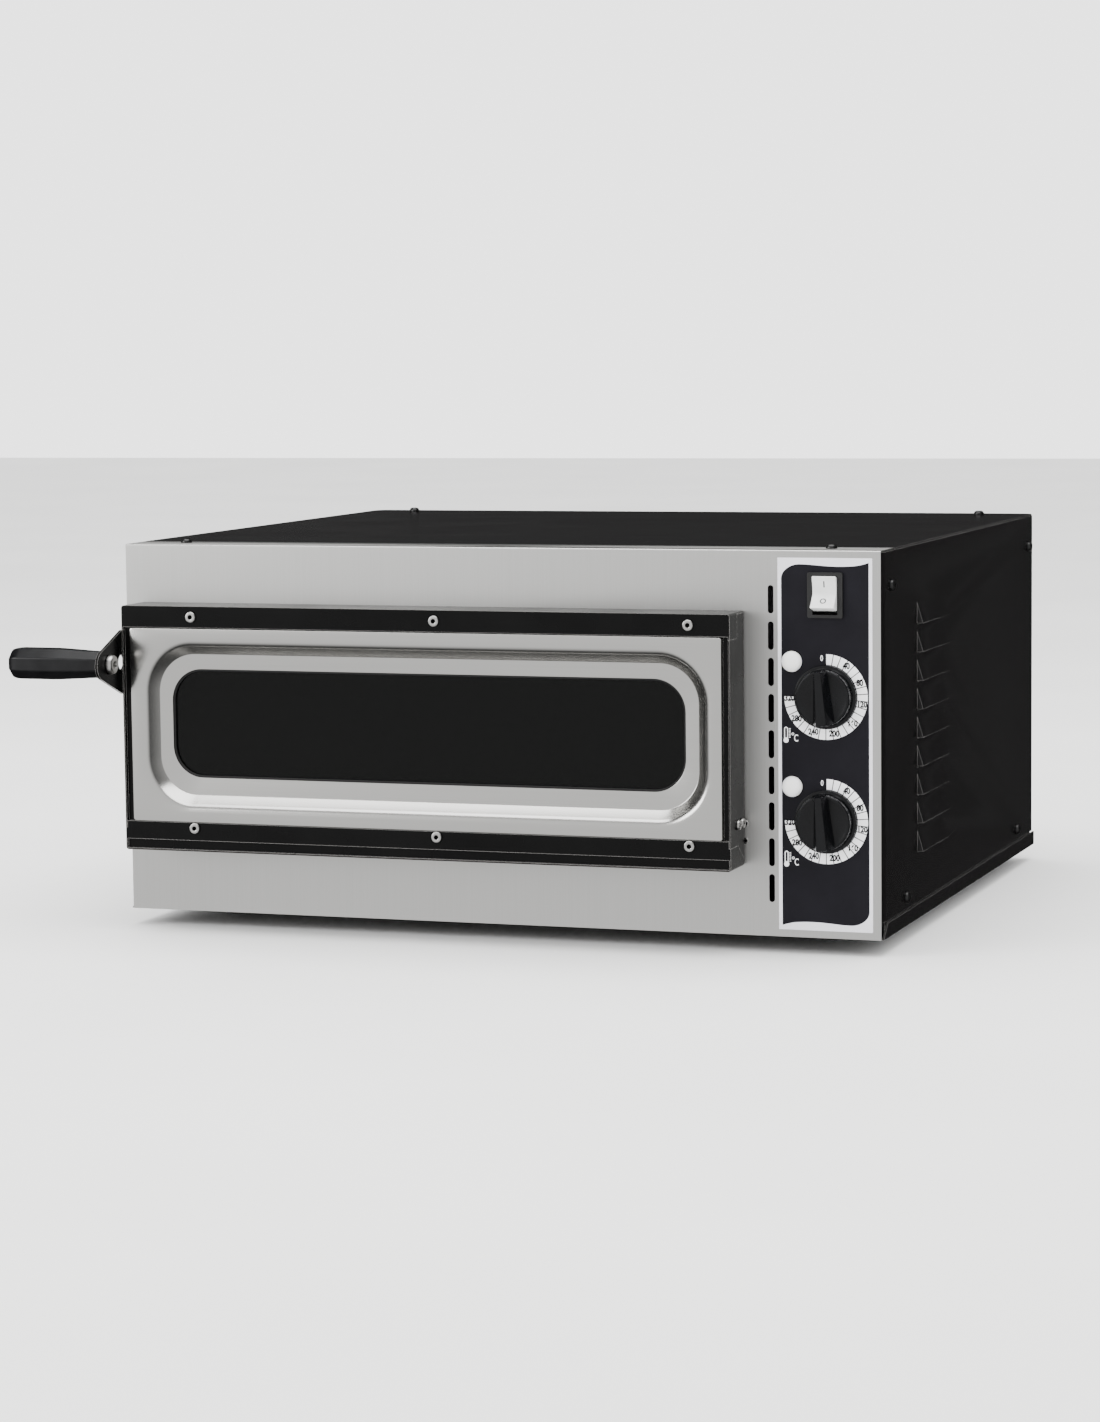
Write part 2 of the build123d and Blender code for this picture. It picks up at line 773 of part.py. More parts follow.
def lamp_body(z):
    """Neon lamp holder behind the lens, held by a spring nut inside the fascia."""
    start = (lamp_x, front - label_thickness, z)
    body = rod(start, (0, 1, 0), lamp_body_radius, lamp_body_length)
    return body + rod((lamp_x, inner_front, z), (0, 1, 0), lamp_body_radius + 2, 3)


def switch_housing():
    """Rocker switch body with its raised bezel."""
    half_width = switch_width / 2
    half_height = switch_height / 2
    bezel_back = front - label_thickness
    housing = block(dial_x - half_width, dial_x + half_width, bezel_back - bezel_thickness, bezel_back,
                    switch_z - half_height, switch_z + half_height)
    housing = fillet(housing.edges().filter_by(Axis.Y), 1.5)
    shrink = 1.5
    housing += block(dial_x - half_width + shrink, dial_x + half_width - shrink, bezel_back,
                     inner_front + switch_body_depth, switch_z - half_height + shrink,
                     switch_z + half_height - shrink)
    cavity_half_width = half_width - bezel_wall - shrink
    housing -= block(dial_x - cavity_half_width, dial_x + cavity_half_width, bezel_back - 5,
                     rocker_pivot_y + 12, switch_z - half_height + bezel_wall,
                     switch_z + half_height - bezel_wall)
    bore = rod((dial_x - cavity_half_width - 1.0, rocker_pivot_y, switch_z), (1, 0, 0),
               trunnion_radius + pin_clearance, 2 * cavity_half_width + 2.0)
    housing -= bore
    for x in (dial_x - 7, dial_x + 7):
        housing += block(x - 3, x + 3, inner_front + switch_body_depth,
                         inner_front + switch_body_depth + 9, switch_z - 0.4, switch_z + 0.4)
    return housing


def rocker():
    """White rocker on two trunnions, tilted with its lower end out."""
    half_width = switch_width / 2 - bezel_wall - 1.5 - rocker_side_gap
    y = rocker_pivot_y
    z = switch_z
    h = rocker_half_height
    outline = [(y - rocker_crown, z), (y - rocker_end, z + h), (y, z + h), (y + 4, z + h - 3),
               (y + 4, z - h + 3), (y, z - h), (y - rocker_end, z - h)]
    paddle = side_profile(outline, dial_x - half_width, 2 * half_width)
    paddle += rod((dial_x - half_width - 1.0, y, z), (1, 0, 0), trunnion_radius, 2 * half_width + 2.0)
    return paddle.rotate(Axis((dial_x, y, z), (1, 0, 0)), -rocker_tilt)


def terminal_block():
    """Mains terminal block on the tray, with three clamping screws."""
    x = right - gland_from_right
    width, depth, height = terminal_size
    y = back - terminal_from_back - depth / 2
    z1 = bottom + sheet + height
    body = block(x - width / 2, x + width / 2, y - depth / 2, y + depth / 2, bottom + sheet, z1)
    for step in (-terminal_screw_pitch, 0, terminal_screw_pitch):
        body -= rod((x + step, y, z1 + 1), (0, 0, -1), terminal_screw_radius, terminal_screw_depth + 1)
    return body


def cable_gland():
    """Screwed gland for the supply cable, through the rear panel."""
    x = right - gland_from_right
    z = bottom + gland_lift
    outside = back - sheet
    facing = Plane(origin=(x, outside, z), z_dir=(0, 1, 0))
    body = extrude(facing * RegularPolygon(gland_flats / 2, 6, major_radius=False), amount=gland_flange)
    dome = rod((x, outside + gland_flange, z), (0, 1, 0), gland_radius, gland_length - gland_flange)
    dome = fillet(dome.edges().filter_by(GeomType.CIRCLE).sort_by(Axis.Y)[-1], gland_dome_round)
    body += dome
    body += rod((x, outside, z), (0, -1, 0), gland_thread - joint_gap, gland_thread_length)
    nut = extrude(Plane(origin=(x, outside - sheet, z), z_dir=(0, -1, 0))
                  * RegularPolygon(gland_flats / 2, 6, major_radius=False), amount=gland_flange)
    body += nut
    return body - rod((x, outside - gland_bore_length / 3, z), (0, 1, 0), gland_bore, gland_bore_length)


# Door -----------------------------------------------------------------------

def door_shell():
    """The whole black door casing before it is divided into its folded pieces."""
    outer = block(door_left, door_right, door_front, door_back, door_bottom, door_top)
    low_rear = outer.edges().filter_by(Axis.X).group_by(Axis.Z)[0].sort_by(Axis.Y)[-1]
    outer = fillet(low_rear, low_rear_corner)
    front_rim = outer.edges().filter_by(Axis.Y)
    outer = fillet(front_rim, door_corner)
    t = door_sheet
    inner = block(door_left + t, door_right - t, door_front + t, door_back - t, door_bottom + t, door_top - t)
    return outer - inner


def end_seam(x):
    """Region at a door end that belongs to the bottom channel: it has a sloping upper edge."""
    z = door_bottom
    points = [(door_front - 1, z - 1), (door_front - 1, z + end_seam_height),
              (door_front + end_seam_depth, z + end_seam_height), (door_back - 1, z + end_seam_low),
              (door_back + 1, z + end_seam_low), (door_back + 1, z - 1)]
    return side_profile(points, x, door_sheet)


def top_end(x):
    """Region at a door end that belongs to the top channel."""
    return block(x, x + door_sheet, door_front - 1, door_front + end_seam_depth,
                 door_top - top_end_height, door_top + 1)


def door_ends():
    """The x of each door end wall."""
    return door_left, door_right - door_sheet


def door_top_channel():
    """Folded channel along the top of the door."""
    t = door_sheet
    region = block(door_left + t, door_right - t, door_front - 1, door_back + 1, door_top - top_strip, door_top + 1)
    for x in door_ends():
        region += top_end(x)
        region += block(x, x + t, door_front - 1, door_front + t, door_top - top_strip, door_top + 1)
        region += block(x, x + t, door_front - 1, door_back + 1, door_top - t, door_top + 1)
    channel = door_shell() & region
    for x in face_screw_xs:
        channel -= screw_hole((x, door_front, face_screw_zs[0]), (0, -1, 0), face_screw)
    return channel


def door_bottom_channel():
    """Folded channel along the bottom, with a drip groove and slots for the hinge lugs."""
    t = door_sheet
    region = block(door_left + t, door_right - t, door_front - 1, door_back + 1,
                   door_bottom - 1, door_bottom + bottom_strip)
    for x in door_ends():
        region += end_seam(x)
    channel = door_shell() & region
    groove_top = door_bottom + groove_height
    x0 = door_left + t
    x1 = door_right - t
    channel -= block(x0, x1, door_front - 1, door_front + t, door_bottom + t, groove_top)
    channel += block(x0, x1, door_front + groove_depth - t, door_front + groove_depth,
                     door_bottom, groove_top + t)
    channel += block(x0, x1, door_front, door_front + groove_depth, groove_top, groove_top + t)
    slot = block(lug_inner - sweep_clearance, lug_outer + sweep_clearance,
                 hinge_y - lug_radius - 0.3, door_back + 1, door_bottom - 1, hinge_z + lug_radius + sweep_clearance)
    channel -= slot
    channel -= mirrored(slot)
    for x in face_screw_xs:
        channel -= screw_hole((x, door_front, face_screw_zs[1]), (0, -1, 0), face_screw)
    return channel


def hinge_screw_places():
    """Two screws through the door's right end into the hinge arm."""
    return [(door_right, door_back - setback, door_bottom + hinge_screw_lift) for setback in hinge_screw_setbacks]


def bean_hole():
    """Curved hole in the door's end, concentric with the hinge pin."""
    outer = bean_radius + bean_width / 2
    inner = bean_radius - bean_width / 2
    points = [(hinge_y + r * sin(radians(a)), hinge_z + r * cos(radians(a)))
              for r, angles in ((outer, bean_turns), (inner, reversed(bean_turns))) for a in angles]
    return side_profile(points, door_right - 2 * door_sheet, 3 * door_sheet)


def door_side_right():
    """Right end plate of the door."""
    t = door_sheet
    region = block(door_right - t, door_right + 1, door_front + t, door_back + 1, door_bottom, door_top - t)
    region += block(door_right - t, door_right + 1, door_front - 1, door_front + t,
                    door_bottom + end_seam_height, door_top - top_strip)
    plate = door_shell() & region
    plate -= end_seam(door_right - t)
    plate -= top_end(door_right - t)
    fold_front = door_front + side_fold_setback
    fold_width = (door_width - window_frame_width) / 2 - side_fold_gap
    plate += block(door_right - fold_width, door_right - t, fold_front, fold_front + t,
                   door_bottom + bottom_strip + side_fold_gap, door_top - top_strip - side_fold_gap)
    for place in hinge_screw_places():
        plate -= screw_hole(place, (1, 0, 0), hinge_screw)
    return plate


def plate_screw_places():
    """Two screws through the handle plate into the door's left end."""
    y = door_front + plate_screw_setback
    return [(plate_outer, y, handle_z + side * plate_screw_spread) for side in (1, -1)]


def door_side_left():
    """Left end plate of the door, which also carries the handle."""
    plate = mirrored(door_side_right())
    for place in plate_screw_places():
        plate -= screw_hole(place, (-1, 0, 0), hinge_screw)
    return plate


def door_window_frame():
    """Pressed stainless frame: a flat rim, a soft inward slope and a ring round the window."""
    t = window_frame_sheet
    x = door_middle
    z = window_frame_middle_z
    w = window_frame_width
    h = window_frame_height
    outer = rounded(x, z, w, h, 2.0, door_front, door_front + window_frame_flange)
    rim_width = w - 2 * recess_border
    rim_height = h - 2 * recess_border
    ring_width = rim_width - 2 * recess_slope
    ring_height = rim_height - 2 * recess_slope
    ring_corner = recess_corner - recess_slope

    def recess(y0, y1, grow):
        """The inward slope as a solid, grown by the sheet for its back face."""
        outlines = []
        for y, width, height, radius in ((y0, rim_width, rim_height, recess_corner),
                                         (y1, ring_width, ring_height, ring_corner)):
            facing = Plane(origin=(x, y, z), x_dir=(1, 0, 0), z_dir=(0, -1, 0))
            outlines.append(facing * RectangleRounded(width + 2 * grow, height + 2 * grow, radius + grow))
        return loft(outlines)

    hollow = rounded(x, z, w - 2 * t, h - 2 * t, 1.0, door_front + t, door_front + window_frame_flange + 1)
    frame = (outer - hollow) + recess(door_front, ring_back, t)
    frame -= recess(door_front - 0.001, ring_front, 0)
    frame -= rounded(x, window_middle_z, window_width, window_height, window_corner,
                     door_front, ring_back + 1)
    for screw_x in flange_screw_xs:
        for edge, outward in ((z + h / 2, (0, 0, 1)), (z - h / 2, (0, 0, -1))):
            frame -= screw_hole((screw_x, door_front + flange_screw_setback, edge), outward, flange_screw)
    return frame


def glass_outline(grow, y0, y1):
    """The glass outline, grown or shrunk, from y0 back to y1."""
    return rounded(door_middle, window_middle_z, window_width + 2 * (glass_cover + grow),
                   window_height + 2 * (glass_cover + grow), window_corner, y0, y1)


def glass_gasket():
    """Black silicone gasket between the ring and the glass."""
    gasket = glass_outline(0, ring_back, glass_front)
    return gasket - rounded(door_middle, window_middle_z, window_width - 2 * gasket_peek,
                            window_height - 2 * gasket_peek, window_corner - gasket_peek,
                            ring_back - 1, glass_front + 1)


def door_glass():
    """Toughened glass pane."""
    return glass_outline(0, glass_front, glass_back)


def door_inner_panel():
    """Inner stainless panel, tucked behind the channels, with a collar that clamps the glass."""
    t = window_frame_sheet
    side = door_sheet + arm_thickness + hinge_side_gap
    z0 = door_bottom + bottom_strip - panel_tuck
    z1 = door_top - top_strip + panel_tuck
    y1 = door_back - door_sheet
    panel = block(door_left + side, door_right - side, y1 - t, y1, z0, z1)
    panel += rounded(door_middle, window_middle_z, window_width + 2 * t, window_height + 2 * t,
                     window_corner + t, glass_back, y1)
    return panel - rounded(door_middle, window_middle_z, window_width, window_height, window_corner,
                           glass_back - 1, door_back + 1)


def door_seal():
    """Woven glass-fibre tape on the inner panel, round the chamber mouth."""
    inner_width = chamber_width + 2 * seal_margin
    inner_height = chamber_height + stone_lip + 2 * seal_margin
    z = (stone_top - stone_lip + chamber_roof) / 2
    y0 = door_back - door_sheet
    seal = rounded(door_middle, z, inner_width + 2 * seal_width, inner_height + 2 * seal_width, 6.0,
                   y0, y0 + seal_thickness)
    return seal - rounded(door_middle, z, inner_width, inner_height, 4.0, y0 - 1, y0 + 2)


def door_insulation():
    """Mineral wool frame inside the door, round the glass."""
    y0 = glass_back + 0.5
    y1 = door_back - 3.0
    side = door_sheet + 12.0
    wool = block(door_left + side, door_right - side, y0, y1,
                 door_bottom + bottom_strip + 4, door_top - top_strip - 4)
    return wool - rounded(door_middle, window_middle_z, window_width + 4, window_height + 4,
                          window_corner + 2, y0 - 1, y1 + 1)


def face_screws():
    """Six bright screws along the door's black strips."""
    places = [(x, door_front, z) for x in face_screw_xs for z in face_screw_zs]
    return group(screw(place, (0, -1, 0), face_screw) for place in places)


def frame_screws():
    """Six small screws through the window frame's top and bottom flanges."""
    y = door_front + flange_screw_setback
    top_edge = window_frame_bottom + window_frame_height
    screws = []
    for x in flange_screw_xs:
        screws.append(screw((x, y, top_edge), (0, 0, 1), flange_screw))
        screws.append(screw((x, y, window_frame_bottom), (0, 0, -1), flange_screw))
    return group(screws)


# Hinges ---------------------------------------------------------------------

def hinge_arm():
    """Plate inside the door's right end, from the two screws down to the hinge pin."""
    y1 = door_back - arm_back_gap
    z1 = door_bottom + arm_height
    eye = arm_eye_radius
    points = [(hinge_y - eye, hinge_z), (hinge_y - eye, hinge_z + arm_neck), (hinge_y + eye / 2, z1), (y1, z1),
              (y1, door_bottom + arm_heel_lift), (hinge_y + eye, hinge_z)]
    arm = side_profile(points, arm_outer - arm_thickness, arm_thickness)
    arm += rod((arm_outer - arm_thickness, hinge_y, hinge_z), (1, 0, 0), eye, arm_thickness)
    arm -= rod((arm_outer - 5, hinge_y, hinge_z), (1, 0, 0), hinge_pin_radius, 10)
    for place in hinge_screw_places():
        arm -= screw_hole(place, (1, 0, 0), hinge_screw)
    return arm


def hinge_pin():
    """Steel pin riveted into the arm, with a head on the lug's inner side."""
    length = arm_outer - lug_inner + hinge_side_gap
    pin = rod((lug_inner - hinge_side_gap, hinge_y, hinge_z), (1, 0, 0), hinge_pin_radius, length)
    return pin + rod((lug_inner - hinge_side_gap, hinge_y, hinge_z), (-1, 0, 0), pin_head_radius, pin_head_length)


def hinge_bracket():
    """Bracket behind the fascia, whose lug comes forward through a slot and holds the pin."""
    lug = block(lug_inner, lug_outer, hinge_y, inner_front + bracket_thickness,
                hinge_z - lug_radius, hinge_z + lug_radius)
    lug += rod((lug_inner, hinge_y, hinge_z), (1, 0, 0), lug_radius, lug_thickness)
    lug -= rod((lug_inner - 1, hinge_y, hinge_z), (1, 0, 0), hinge_pin_radius + pin_clearance, 6)
    plate = block(lug_inner, lug_outer + bracket_reach, inner_front, inner_front + bracket_thickness,
                  hinge_z - bracket_drop, hinge_z + bracket_climb)
    bracket = lug + plate
    for place in bracket_screw_places():
        bracket -= screw_hole(place, (0, -1, 0), flange_screw)
    return bracket


def bracket_screws():
    """Two small screws through the fascia into each hinge bracket."""
    size = (flange_screw[0], 0.7, flange_screw[2], 3.0)
    screws = [screw(place, (0, -1, 0), size) for place in bracket_screw_places()]
    return group(screws + [mirrored(item) for item in screws])


def hinge_screws():
    """Two button-head screws through each door end into its hinge arm."""
    size = (hinge_screw[0], hinge_screw[1], hinge_screw[2], door_sheet + arm_thickness)
    screws = [screw(place, (1, 0, 0), size) for place in hinge_screw_places()]
    return group(screws + [mirrored(item) for item in screws])


# Handle ---------------------------------------------------------------------

def handle_plate():
    """Plate on the door's left end, with a nose that stands forward of the door."""
    facing = Plane(origin=(plate_outer, 0, 0), x_dir=(0, 1, 0), z_dir=(1, 0, 0))
    tail = door_front + plate_tail
    base = Polyline((door_front, handle_z - plate_half_height), (tail, handle_z - plate_half_height),
                    (tail, handle_z + plate_half_height), (door_front, handle_z + plate_half_height), close=True)
    nose = Pos(door_front - plate_nose_reach, handle_z) * Circle(plate_nose_radius)
    plate = extrude(facing * make_hull(base.edges() + nose.edges()), amount=plate_thickness)
    plate -= rod((plate_outer - 1, door_front + plate_hole_setback, handle_z), (1, 0, 0), plate_hole_radius, 10)
    plate -= rod((plate_outer - 1, handle_y, handle_z), (1, 0, 0), grip_screw[2] + hole_clearance, 10)
    for place in plate_screw_places():
        plate -= screw_hole(place, (-1, 0, 0), hinge_screw)
    return plate


def handle_grip():
    """Faceted plastic grip, thicker towards its free end."""
    def ring(x, radius):
        """One eight-sided outline of the grip."""
        facing = Plane(origin=(x, handle_y, handle_z), x_dir=(0, 1, 0), z_dir=(-1, 0, 0))
        return facing * RegularPolygon(radius, grip_sides, major_radius=False, rotation=22.5)

    end = plate_outer - grip_length
    grip = loft([ring(plate_outer, grip_thin), ring(plate_outer - grip_taper, grip_thick)])
    grip += extrude(ring(plate_outer - grip_taper, grip_thick), amount=grip_length - grip_taper - grip_end)
    grip += loft([ring(end + grip_end, grip_thick), ring(end, grip_thick - grip_end_taper)])
    return grip - rod((plate_outer + 1, handle_y, handle_z), (-1, 0, 0), grip_screw[2], 40)


def handle_screw():
    """Button-head screw through the plate into the grip."""
    size = (grip_screw[0], grip_screw[1], grip_screw[2], 36.0)
    return screw((door_left, handle_y, handle_z), (1, 0, 0), size)


def plate_screws():
    """Two screws that fix the handle plate to the door's end."""
    size = (hinge_screw[0], hinge_screw[1], hinge_screw[2], plate_thickness + door_sheet + 3)
    return group(screw(place, (-1, 0, 0), size) for place in plate_screw_places())


def side_screws():
    """Four screws in each side panel."""
    screws = [screw(place, (1, 0, 0), casing_screw) for place in side_screw_places(right)]
    screws += [screw(place, (-1, 0, 0), casing_screw) for place in side_screw_places(left)]
    return group(screws)


upper_dial, lower_dial = (top - drop for drop in dial_below_top)
upper_lamp, lower_lamp = (top - drop for drop in lamp_below_top)

nodes = {
    "base_tray": base_tray(),
    "side_panel_left": side_panel_left(),
    "side_panel_right": side_panel_right(),
    "top_panel": top_panel(),
    "rear_panel": rear_panel(),
    "front_panel": front_panel(),
    "control_label": control_label(),
    "rubber_feet": rubber_feet(),
    "foot_screws": foot_screws(),
    "chamber_liner": chamber_liner(),
    "chamber_insulation": chamber_insulation(),
    "baking_stone": baking_stone(),
    "stone_supports": stone_supports(),
    "heating_element_upper": element(upper_element_z),
    "heating_element_lower": element(lower_element_z),
    "element_clips": element_clips(),
    "bulkhead": bulkhead(),
    "thermostat_upper": thermostat(upper_dial),
    "thermostat_lower": thermostat(lower_dial),
    "thermostat_shaft_upper": thermostat_shaft(upper_dial),
    "thermostat_shaft_lower": thermostat_shaft(lower_dial),
    "thermostat_bulb_upper": thermostat_bulb(upper_dial, upper_element_z),
    "thermostat_bulb_lower": thermostat_bulb(lower_dial, lower_element_z),
    "knob_upper": knob(upper_dial),
    "knob_lower": knob(lower_dial),
    "lamp_lens_upper": lamp_lens(upper_lamp),
    "lamp_lens_lower": lamp_lens(lower_lamp),
    "lamp_body_upper": lamp_body(upper_lamp),
    "lamp_body_lower": lamp_body(lower_lamp),
    "switch_housing": switch_housing(),
    "switch_rocker": rocker(),
    "terminal_block": terminal_block(),
    "cable_gland": cable_gland(),
    "door_top_channel": door_top_channel(),
    "door_bottom_channel": door_bottom_channel(),
    "door_side_left": door_side_left(),
    "door_side_right": door_side_right(),
    "door_window_frame": door_window_frame(),
    "glass_gasket": glass_gasket(),
    "door_glass": door_glass(),
    "door_inner_panel": door_inner_panel(),
    "door_seal": door_seal(),
    "door_insulation": door_insulation(),
    "door_face_screws": face_screws(),
    "window_frame_screws": frame_screws(),
    "hinge_arm_left": mirrored(hinge_arm()),
    "hinge_arm_right": hinge_arm(),
    "hinge_pin_left": mirrored(hinge_pin()),
    "hinge_pin_right": hinge_pin(),
    "hinge_bracket_left": mirrored(hinge_bracket()),
    "hinge_bracket_right": hinge_bracket(),
    "bracket_screws": bracket_screws(),
    "hinge_screws": hinge_screws(),
    "handle_plate": handle_plate(),
    "handle_grip": handle_grip(),
    "handle_screw": handle_screw(),
    "handle_plate_screws": plate_screws(),
    "top_screws": group(screw(place, (0, 0, 1), casing_screw) for place in top_screw_places()),
    "side_screws": side_screws(),
    "rear_screws": group(screw(place, (0, 1, 0), casing_screw) for place in rear_screw_places()),
}

os.makedirs("parts", exist_ok=True)
for name, shape in nodes.items():
    export_step(shape, f"parts/{name}.step")
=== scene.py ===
import bmesh
import bpy
import json
from math import atan2, cos, pi, radians, sin, tan
from mathutils import Matrix, Vector


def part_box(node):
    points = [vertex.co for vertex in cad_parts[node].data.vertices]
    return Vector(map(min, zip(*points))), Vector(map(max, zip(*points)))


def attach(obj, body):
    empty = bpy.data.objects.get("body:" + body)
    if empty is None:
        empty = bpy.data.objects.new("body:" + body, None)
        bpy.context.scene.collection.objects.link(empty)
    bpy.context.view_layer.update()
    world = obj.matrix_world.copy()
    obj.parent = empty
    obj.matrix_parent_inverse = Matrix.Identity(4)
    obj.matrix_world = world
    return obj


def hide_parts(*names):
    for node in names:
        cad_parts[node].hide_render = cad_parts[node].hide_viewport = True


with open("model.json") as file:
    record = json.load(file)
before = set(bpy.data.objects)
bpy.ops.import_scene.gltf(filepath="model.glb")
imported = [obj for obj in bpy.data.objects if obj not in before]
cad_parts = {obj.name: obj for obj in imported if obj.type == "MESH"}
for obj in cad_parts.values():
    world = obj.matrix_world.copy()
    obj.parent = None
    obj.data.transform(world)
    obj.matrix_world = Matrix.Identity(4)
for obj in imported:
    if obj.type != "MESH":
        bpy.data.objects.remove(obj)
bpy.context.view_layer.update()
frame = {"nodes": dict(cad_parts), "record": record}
record = frame["record"]
body_of = {node: body for body, nodes in record["behaviour"]["bodies"].items() for node in nodes}
mm = 0.001

# ---------------------------------------------------------------------------------------------
# Outer casing: top, two sides, back and the base tray, cut and folded from 1.2 mm steel sheet and
# coated with black stoving enamel. The tray turns up outside the sides and shows as a lip.

def linear(code):
    """An sRGB colour code as the linear colour that a shader takes."""
    parts = [int(code[i:i + 2], 16) / 255 for i in (1, 3, 5)]
    return tuple(c / 12.92 if c <= 0.04045 else ((c + 0.055) / 1.055) ** 2.4 for c in parts) + (1.0,)


def per(size):
    """The texture scale whose features are about this many millimetres across."""
    return 1.0 / (size * mm)


def add(tree, kind, settings=None, inputs=None):
    """Adds one node with its settings, and gives its inputs their links or values."""
    node = tree.nodes.new(kind)
    for key, value in (settings or {}).items():
        setattr(node, key, value)
    for key, value in (inputs or {}).items():
        if isinstance(value, bpy.types.NodeSocket):
            tree.links.new(value, node.inputs[key])
        else:
            node.inputs[key].default_value = value
    return node


def finish(name, colours, patch, roughness, grain, depth, stretch=(1, 1, 1), detail=3.0, **constants):
    """A surface finish: two mixed colours, a roughness that varies, and a fine relief.

    patch and grain are the sizes in millimetres of the colour patches and of the relief, depth is the
    relief's height in millimetres, and stretch lengthens the pattern along each axis.
    """
    made = bpy.data.materials.new(name)
    made.use_nodes = True
    tree = made.node_tree
    shader = tree.nodes["Principled BSDF"]
    for key, value in constants.items():
        shader.inputs[key.replace("_", " ")].default_value = value
    place = add(tree, "ShaderNodeTexCoord").outputs["Object"]
    spread = add(tree, "ShaderNodeMapping", None,
                 {"Vector": place, "Scale": tuple(1 / s for s in stretch)}).outputs["Vector"]
    patches = add(tree, "ShaderNodeTexNoise", None,
                  {"Vector": spread, "Scale": per(patch), "Detail": detail, "Roughness": 0.6})
    relief = add(tree, "ShaderNodeTexNoise", None,
                 {"Vector": spread, "Scale": per(grain), "Detail": 2.0, "Roughness": 0.55})
    ramp = add(tree, "ShaderNodeMapRange", None,
               {"Value": patches.outputs["Fac"], "From Min": 0.3, "From Max": 0.7})
    colour = add(tree, "ShaderNodeMix", {"data_type": "RGBA"},
                 {0: ramp.outputs["Result"], 6: linear(colours[0]), 7: linear(colours[1])})
    tree.links.new(colour.outputs[2], shader.inputs["Base Color"])
    rough = add(tree, "ShaderNodeMapRange", None,
                {"Value": patches.outputs["Fac"], "From Min": 0.3, "From Max": 0.7,
                 "To Min": roughness[0], "To Max": roughness[1]})
    tree.links.new(rough.outputs["Result"], shader.inputs["Roughness"])
    bump = add(tree, "ShaderNodeBump", None,
               {"Height": relief.outputs["Fac"], "Distance": depth * mm, "Strength": 1.0})
    tree.links.new(bump.outputs["Normal"], shader.inputs["Normal"])
    return made


# Black stoving enamel: a deep gloss with faint orange peel, 2 mm from crest to crest.
enamel = finish("black_stoving_enamel", ("#0b0a0a", "#100e0f"), 70, (0.17, 0.23), 2.0, 0.0015,
                IOR=1.5, Specular_IOR_Level=0.3)


def wear(kind, highlight_colour, amount):
    """Paints a pale hair line on the sharpest folded edges, a painted highlight in place of the light they
    catch.
    """
    tree = kind.node_tree
    shader = tree.nodes["Principled BSDF"]
    bent = add(tree, "ShaderNodeBevel", {"samples": 6}, {"Radius": 0.7 * mm}).outputs["Normal"]
    flat = add(tree, "ShaderNodeNewGeometry").outputs["Normal"]
    across = add(tree, "ShaderNodeVectorMath", {"operation": "DOT_PRODUCT"}, {0: bent, 1: flat})
    edge = add(tree, "ShaderNodeMapRange", None,
               {"Value": across.outputs["Value"], "From Min": 0.98, "From Max": 0.85, "To Max": amount})
    base = shader.inputs["Base Color"].links[0].from_socket
    colour = add(tree, "ShaderNodeMix", {"data_type": "RGBA"},
                 {0: edge.outputs["Result"], 6: base, 7: linear(highlight_colour)})
    tree.links.new(colour.outputs[2], shader.inputs["Base Color"])


# Painted highlight: pale hair lines on the casing's folded edges stand in for the light those edges catch.
wear(enamel, "#9a9896", 0.42)


def stand_in(piece, material, *nodes):
    """Gives a piece the material if one is given, hides the CAD nodes it stands for, and puts it in their
    body.
    """
    if material:
        piece.data.materials.clear()
        piece.data.materials.append(material)
    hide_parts(*nodes)
    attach(piece, body_of[nodes[0]])
    return piece


def new_piece(name, mesh):
    """A new object that holds a mesh and stands at the origin."""
    piece = bpy.data.objects.new(name, mesh)
    bpy.context.collection.objects.link(piece)
    return piece


def smooth(mesh, angle):
    """Shades a mesh smooth, apart from edges that turn by more than the angle in degrees."""
    mesh.shade_smooth()
    mesh.set_sharp_from_angle(angle=radians(angle))


def rounded_copy(node, name, material, edge=0.35, angle=32, segments=2):
    """A CAD part with its loose triangles merged into faces and its edges rounded off."""
    mesh = frame["nodes"][node].data.copy()
    work = bmesh.new()
    work.from_mesh(mesh)
    bmesh.ops.remove_doubles(work, verts=work.verts, dist=0.002 * mm)
    bmesh.ops.dissolve_limit(work, angle_limit=radians(0.5), verts=work.verts, edges=work.edges)
    work.to_mesh(mesh)
    work.free()
    piece = new_piece(name, mesh)
    smooth(mesh, angle)
    rounding = piece.modifiers.new("edges", "BEVEL")
    rounding.width = edge * mm
    rounding.segments = segments
    rounding.limit_method = "ANGLE"
    rounding.angle_limit = radians(angle)
    rounding.harden_normals = True
    rounding.use_clamp_overlap = True
    return stand_in(piece, material, node)


for part in ("top_panel", "side_panel_left", "side_panel_right", "rear_panel", "base_tray"):
    rounded_copy(part, part + "_enamelled", enamel, edge=0.6, segments=3)

# ---------------------------------------------------------------------------------------------
# Front panel: one 1.2 mm stainless sheet, brushed from top to bottom, folded back over the top.
# The mouth of the chamber, the vent slots and the control holes are laser cut.

# Brushed stainless: satin, with long fine scratches. Real grain is about 0.1 mm apart and too fine
# to show, so it is drawn 0.9 mm apart.
brushed = finish("brushed_stainless_steel", ("#cfcfcc", "#d4d3d1"), 0.9, (0.38, 0.43), 0.9, 0.0008,
                 stretch=(1, 1, 260), detail=5.0, Metallic=1.0, Anisotropic=0.5)
rounded_copy("front_panel", "front_panel_brushed", brushed, edge=0.25)

# ---------------------------------------------------------------------------------------------
# Window frame: deep-drawn stainless sheet with a flat rim, a soft slope down to a ring round the
# window, and a flange turned back all round. Its top edge catches the light.

